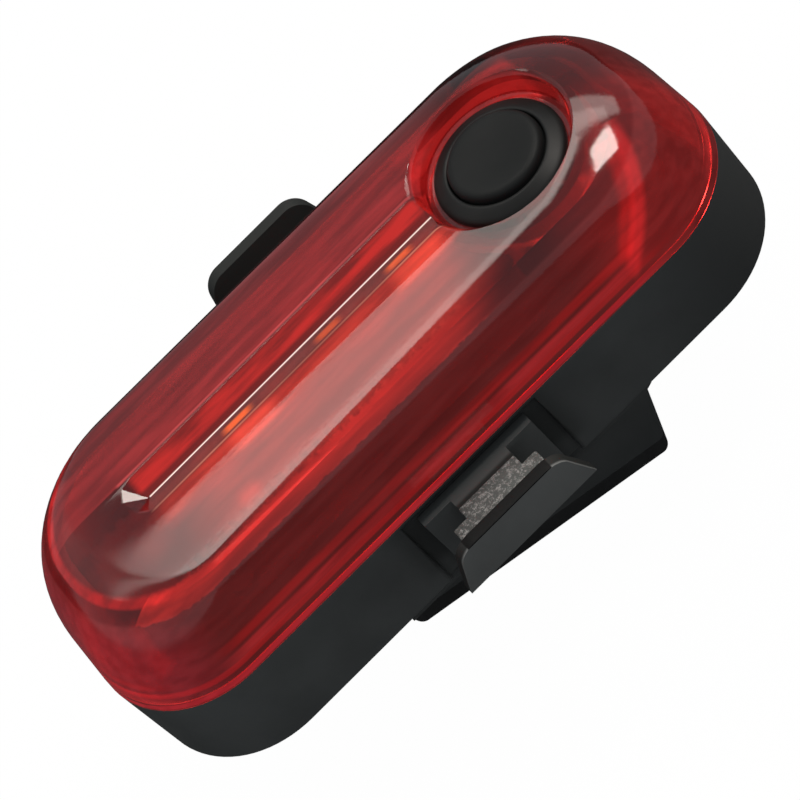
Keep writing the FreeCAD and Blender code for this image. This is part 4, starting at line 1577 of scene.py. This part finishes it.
@dataclass
class Arms:
    """The two latch arms and the grainy strips behind their lips.

    A strip is a short deep plate, from `start`, over a long narrow one, from `step`.
    """

    rounding: float = 0.22
    strip_round: float = 0.16
    start: float = 16.6
    step: float = 18.0
    end: float = 20.7
    short_reach: float = 3.5
    long_reach: float = 5.2
    foot: float = PARTING - 1.9
    top: float = PARTING - 1.1
    skin: float = 0.03
    sides: dict[str, Rides] = field(
        default_factory=lambda: {"right_arm": Rides.RIGHT_ARM, "left_arm": Rides.LEFT_ARM}
    )

    def build(self, shop: Workshop) -> None:
        """Soften and dress both arms.

        Args:
            shop: Where they are dressed.
        """
        for node, rides in self.sides.items():
            arm = shop.softened(node, f"{node}_latch", self.rounding)
            shop.issue(arm, ARM_PLASTIC, rides, "arm_plastic", node)
            shop.issue(self.strip(node), GRIP_RUBBER, rides, "grip_rubber", f"{node}_grip")

    def strip(self, node: str) -> bpy.types.Object:
        """The grainy strip behind a lip.

        Args:
            node: The arm's node.

        Returns:
            The strip.
        """
        side = -1 if node == "right_arm" else 1
        blank = Blank()
        plates = (
            (self.short_reach, self.start, self.end, self.top),
            (self.long_reach, self.step, self.end, self.top - self.skin),
        )
        for reach, start, end, top in plates:
            low, high = sorted((side * start, side * end))
            blank.box((-reach, low, self.foot), (reach, high, top))
        blank.soften(blank.sharp_edges(), self.strip_round)
        piece = blank.thing(f"{node}_strip")
        smooth(piece)
        return piece


@dataclass(frozen=True)
class SoftBox:
    """A warm area lamp that faces a point near the light.

    `toward` is the direction of the lamp from that point, `away` its distance in metres, `size`
    its width and height in metres, `radiance` the brightness of its face, `aim` the point in
    millimetres and `spread` the width of its beam in degrees.
    """

    name: str
    toward: Point
    away: float
    size: tuple[float, float]
    radiance: float
    aim: Point = (0.0, 0.0, 0.0)
    spread: float = 180.0
    colour: Colour = (1.0, 0.93, 0.86)

    def hang(self) -> None:
        """Add the lamp to the scene."""
        width, height = self.size
        data = bpy.data.lights.new(self.name, "AREA")
        data.spread = math.radians(self.spread)
        data.shape = "RECTANGLE"
        data.size, data.size_y = width, height
        data.color = self.colour
        data.energy = self.radiance * math.pi * width * height
        lamp = bpy.data.objects.new(self.name, data)
        way = Vector(self.toward).normalized()
        lamp.location = Vector(self.aim) * MM + way * self.away
        lamp.rotation_euler = way.to_track_quat("Z", "Y").to_euler()
        bpy.context.scene.collection.objects.link(lamp)


SOFT_BOXES = (
    SoftBox("roof_box", (0.0, 0.477, 0.879), 0.9, (1.2, 0.25), 3.2, aim=(460.0, 0.0, 0.0)),
    SoftBox("roof_bar", (0.0, 0.391, 0.921), 0.85, (1.5, 0.13), 2.4),
    SoftBox("key_box", (0.53, 0.04, 0.847), 1.0, (0.3, 0.3), 17.0),
    SoftBox("tip_box", (0.612, 0.352, 0.708), 0.3, (0.034, 0.034), 0.042, (-23.6, 1.1, 33.0), 12.0),
    SoftBox("end_box", (-0.47, 0.62, 0.63), 1.1, (0.5, 0.55), 0.25),
)


@dataclass
class Studio:
    """Floor, lamps, world and camera.

    The camera looks at the middle of the parting plane from `distance` millimetres, tilted from
    upright, swung round the upright axis and rolled, in radians. `pixels_per_mm`, `centre_x` and
    `centre_y` place that middle in a picture `frame` pixels wide and high.
    """

    tilt: float = 0.748965
    swing: float = -0.0193978
    roll: float = 0.7965508
    distance: float = 349.954
    pixels_per_mm: float = 10.76499
    centre_x: float = 385.474
    centre_y: float = 379.223
    sensor: float = 36.0
    frame: float = 800.0
    clip: tuple[float, float] = (0.01, 10.0)
    floor_level: float = -5.75
    floor_half: float = 3.0
    floor_greys: tuple[float, float] = (0.18, 0.21)
    floor_glow: float = 1.04
    floor_glow_share: float = 0.95
    mirrored_grey: float = 0.035
    world_colour: Colour = (0.9, 0.95, 1.0)
    world_strength: float = 0.46

    def axes(self) -> tuple[Vector, Vector, Vector]:
        """The camera's directions before its roll.

        Returns:
            Right, up and back.
        """
        away = math.sin(self.tilt)
        back = Vector(
            (-away * math.sin(self.swing), -away * math.cos(self.swing), math.cos(self.tilt))
        )
        right = Vector((math.cos(self.swing), -math.sin(self.swing), 0.0))
        return right, back.cross(right), back

    def camera(self) -> None:
        """The camera at the photograph's view."""
        right, up, back = self.axes()
        across = right * math.cos(self.roll) - up * math.sin(self.roll)
        upward = right * math.sin(self.roll) + up * math.cos(self.roll)
        place = Vector((0.0, 0.0, PARTING)) + back * self.distance
        data = bpy.data.cameras.new("view")
        data.sensor_width = self.sensor
        data.lens = self.pixels_per_mm * self.distance / self.frame * self.sensor
        data.shift_x = (self.frame / 2 - self.centre_x) / self.frame
        data.shift_y = (self.centre_y - self.frame / 2) / self.frame
        data.clip_start, data.clip_end = self.clip
        camera = bpy.data.objects.new("view", data)
        turn = Matrix((across, upward, back)).transposed().to_4x4()
        camera.matrix_world = Matrix.Translation(place * MM) @ turn
        bpy.context.scene.collection.objects.link(camera)
        bpy.context.scene.camera = camera

    def floor(self) -> None:
        """A pale floor that the camera sees nearly white, with the object's shadow on it."""
        bm = bmesh.new()
        bmesh.ops.create_grid(bm, x_segments=1, y_segments=1, size=self.floor_half)
        bmesh.ops.translate(bm, vec=(0, 0, self.floor_level * MM), verts=bm.verts)
        mesh = bpy.data.meshes.new("floor")
        bm.to_mesh(mesh)
        bm.free()
        floor = bpy.data.objects.new("floor", mesh)
        bpy.context.scene.collection.objects.link(floor)
        mesh.materials.append(self.paper())

    def paper(self) -> bpy.types.Material:
        """The floor's material, nearly white to the camera and dark to a mirrored ray.

        Returns:
            The material.
        """
        recipe = Recipe("floor_white")
        low, high = ((grey, grey, grey) for grey in self.floor_greys)
        fibres = recipe.noise(recipe.place(), scale=0.02, detail=2.0)
        recipe.surface(
            Base_Color=recipe.blend(fibres, low, high),
            Roughness=0.9,
            Specular_IOR_Level=0.1,
        )
        white = {"Color": (1.0, 1.0, 1.0, 1.0), "Strength": self.floor_glow}
        glow = recipe.node("ShaderNodeEmission", {}, white)
        grey = self.mirrored_grey
        murk = recipe.node("ShaderNodeEmission", {}, {"Color": (grey, grey, grey, 1.0)})
        lit = recipe.swap(recipe.seen_by(Ray.MIRRORED), recipe.shader, murk)
        recipe.show(recipe.swap(recipe.seen_by(Ray.CAMERA) * self.floor_glow_share, lit, glow))
        return recipe.material

    def world(self) -> None:
        """Plain pale light all round, white where the camera looks past the floor."""
        world = bpy.data.worlds.new("studio")
        bpy.context.scene.world = world
        world.use_nodes = True
        sky = Graph(world.node_tree, "ShaderNodeOutputWorld")
        pale = {"Color": (*self.world_colour, 1.0), "Strength": self.world_strength}
        dim = sky.node("ShaderNodeBackground", {}, pale)
        white = sky.node("ShaderNodeBackground", {}, {"Strength": 1.0})
        sky.show(sky.swap(sky.seen_by(Ray.CAMERA), dim, white))

    def build(self) -> None:
        """Set the studio up."""
        bpy.context.scene.view_settings.view_transform = "Standard"
        self.camera()
        self.floor()
        self.world()
        for box in SOFT_BOXES:
            box.hang()


def main() -> None:
    """Build the scene and report each piece."""
    logging.basicConfig(level=logging.INFO, format="%(name)s: %(message)s")
    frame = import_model()
    shop = Workshop(frame)
    Studio().build()
    Lens().build(shop)
    Button().build(shop)
    Case().build(shop)
    Arms().build(shop)
    for node, finish in NODE_FINISHES.items():
        shop.dress(node, finish)


if __name__ == "__main__":
    main()
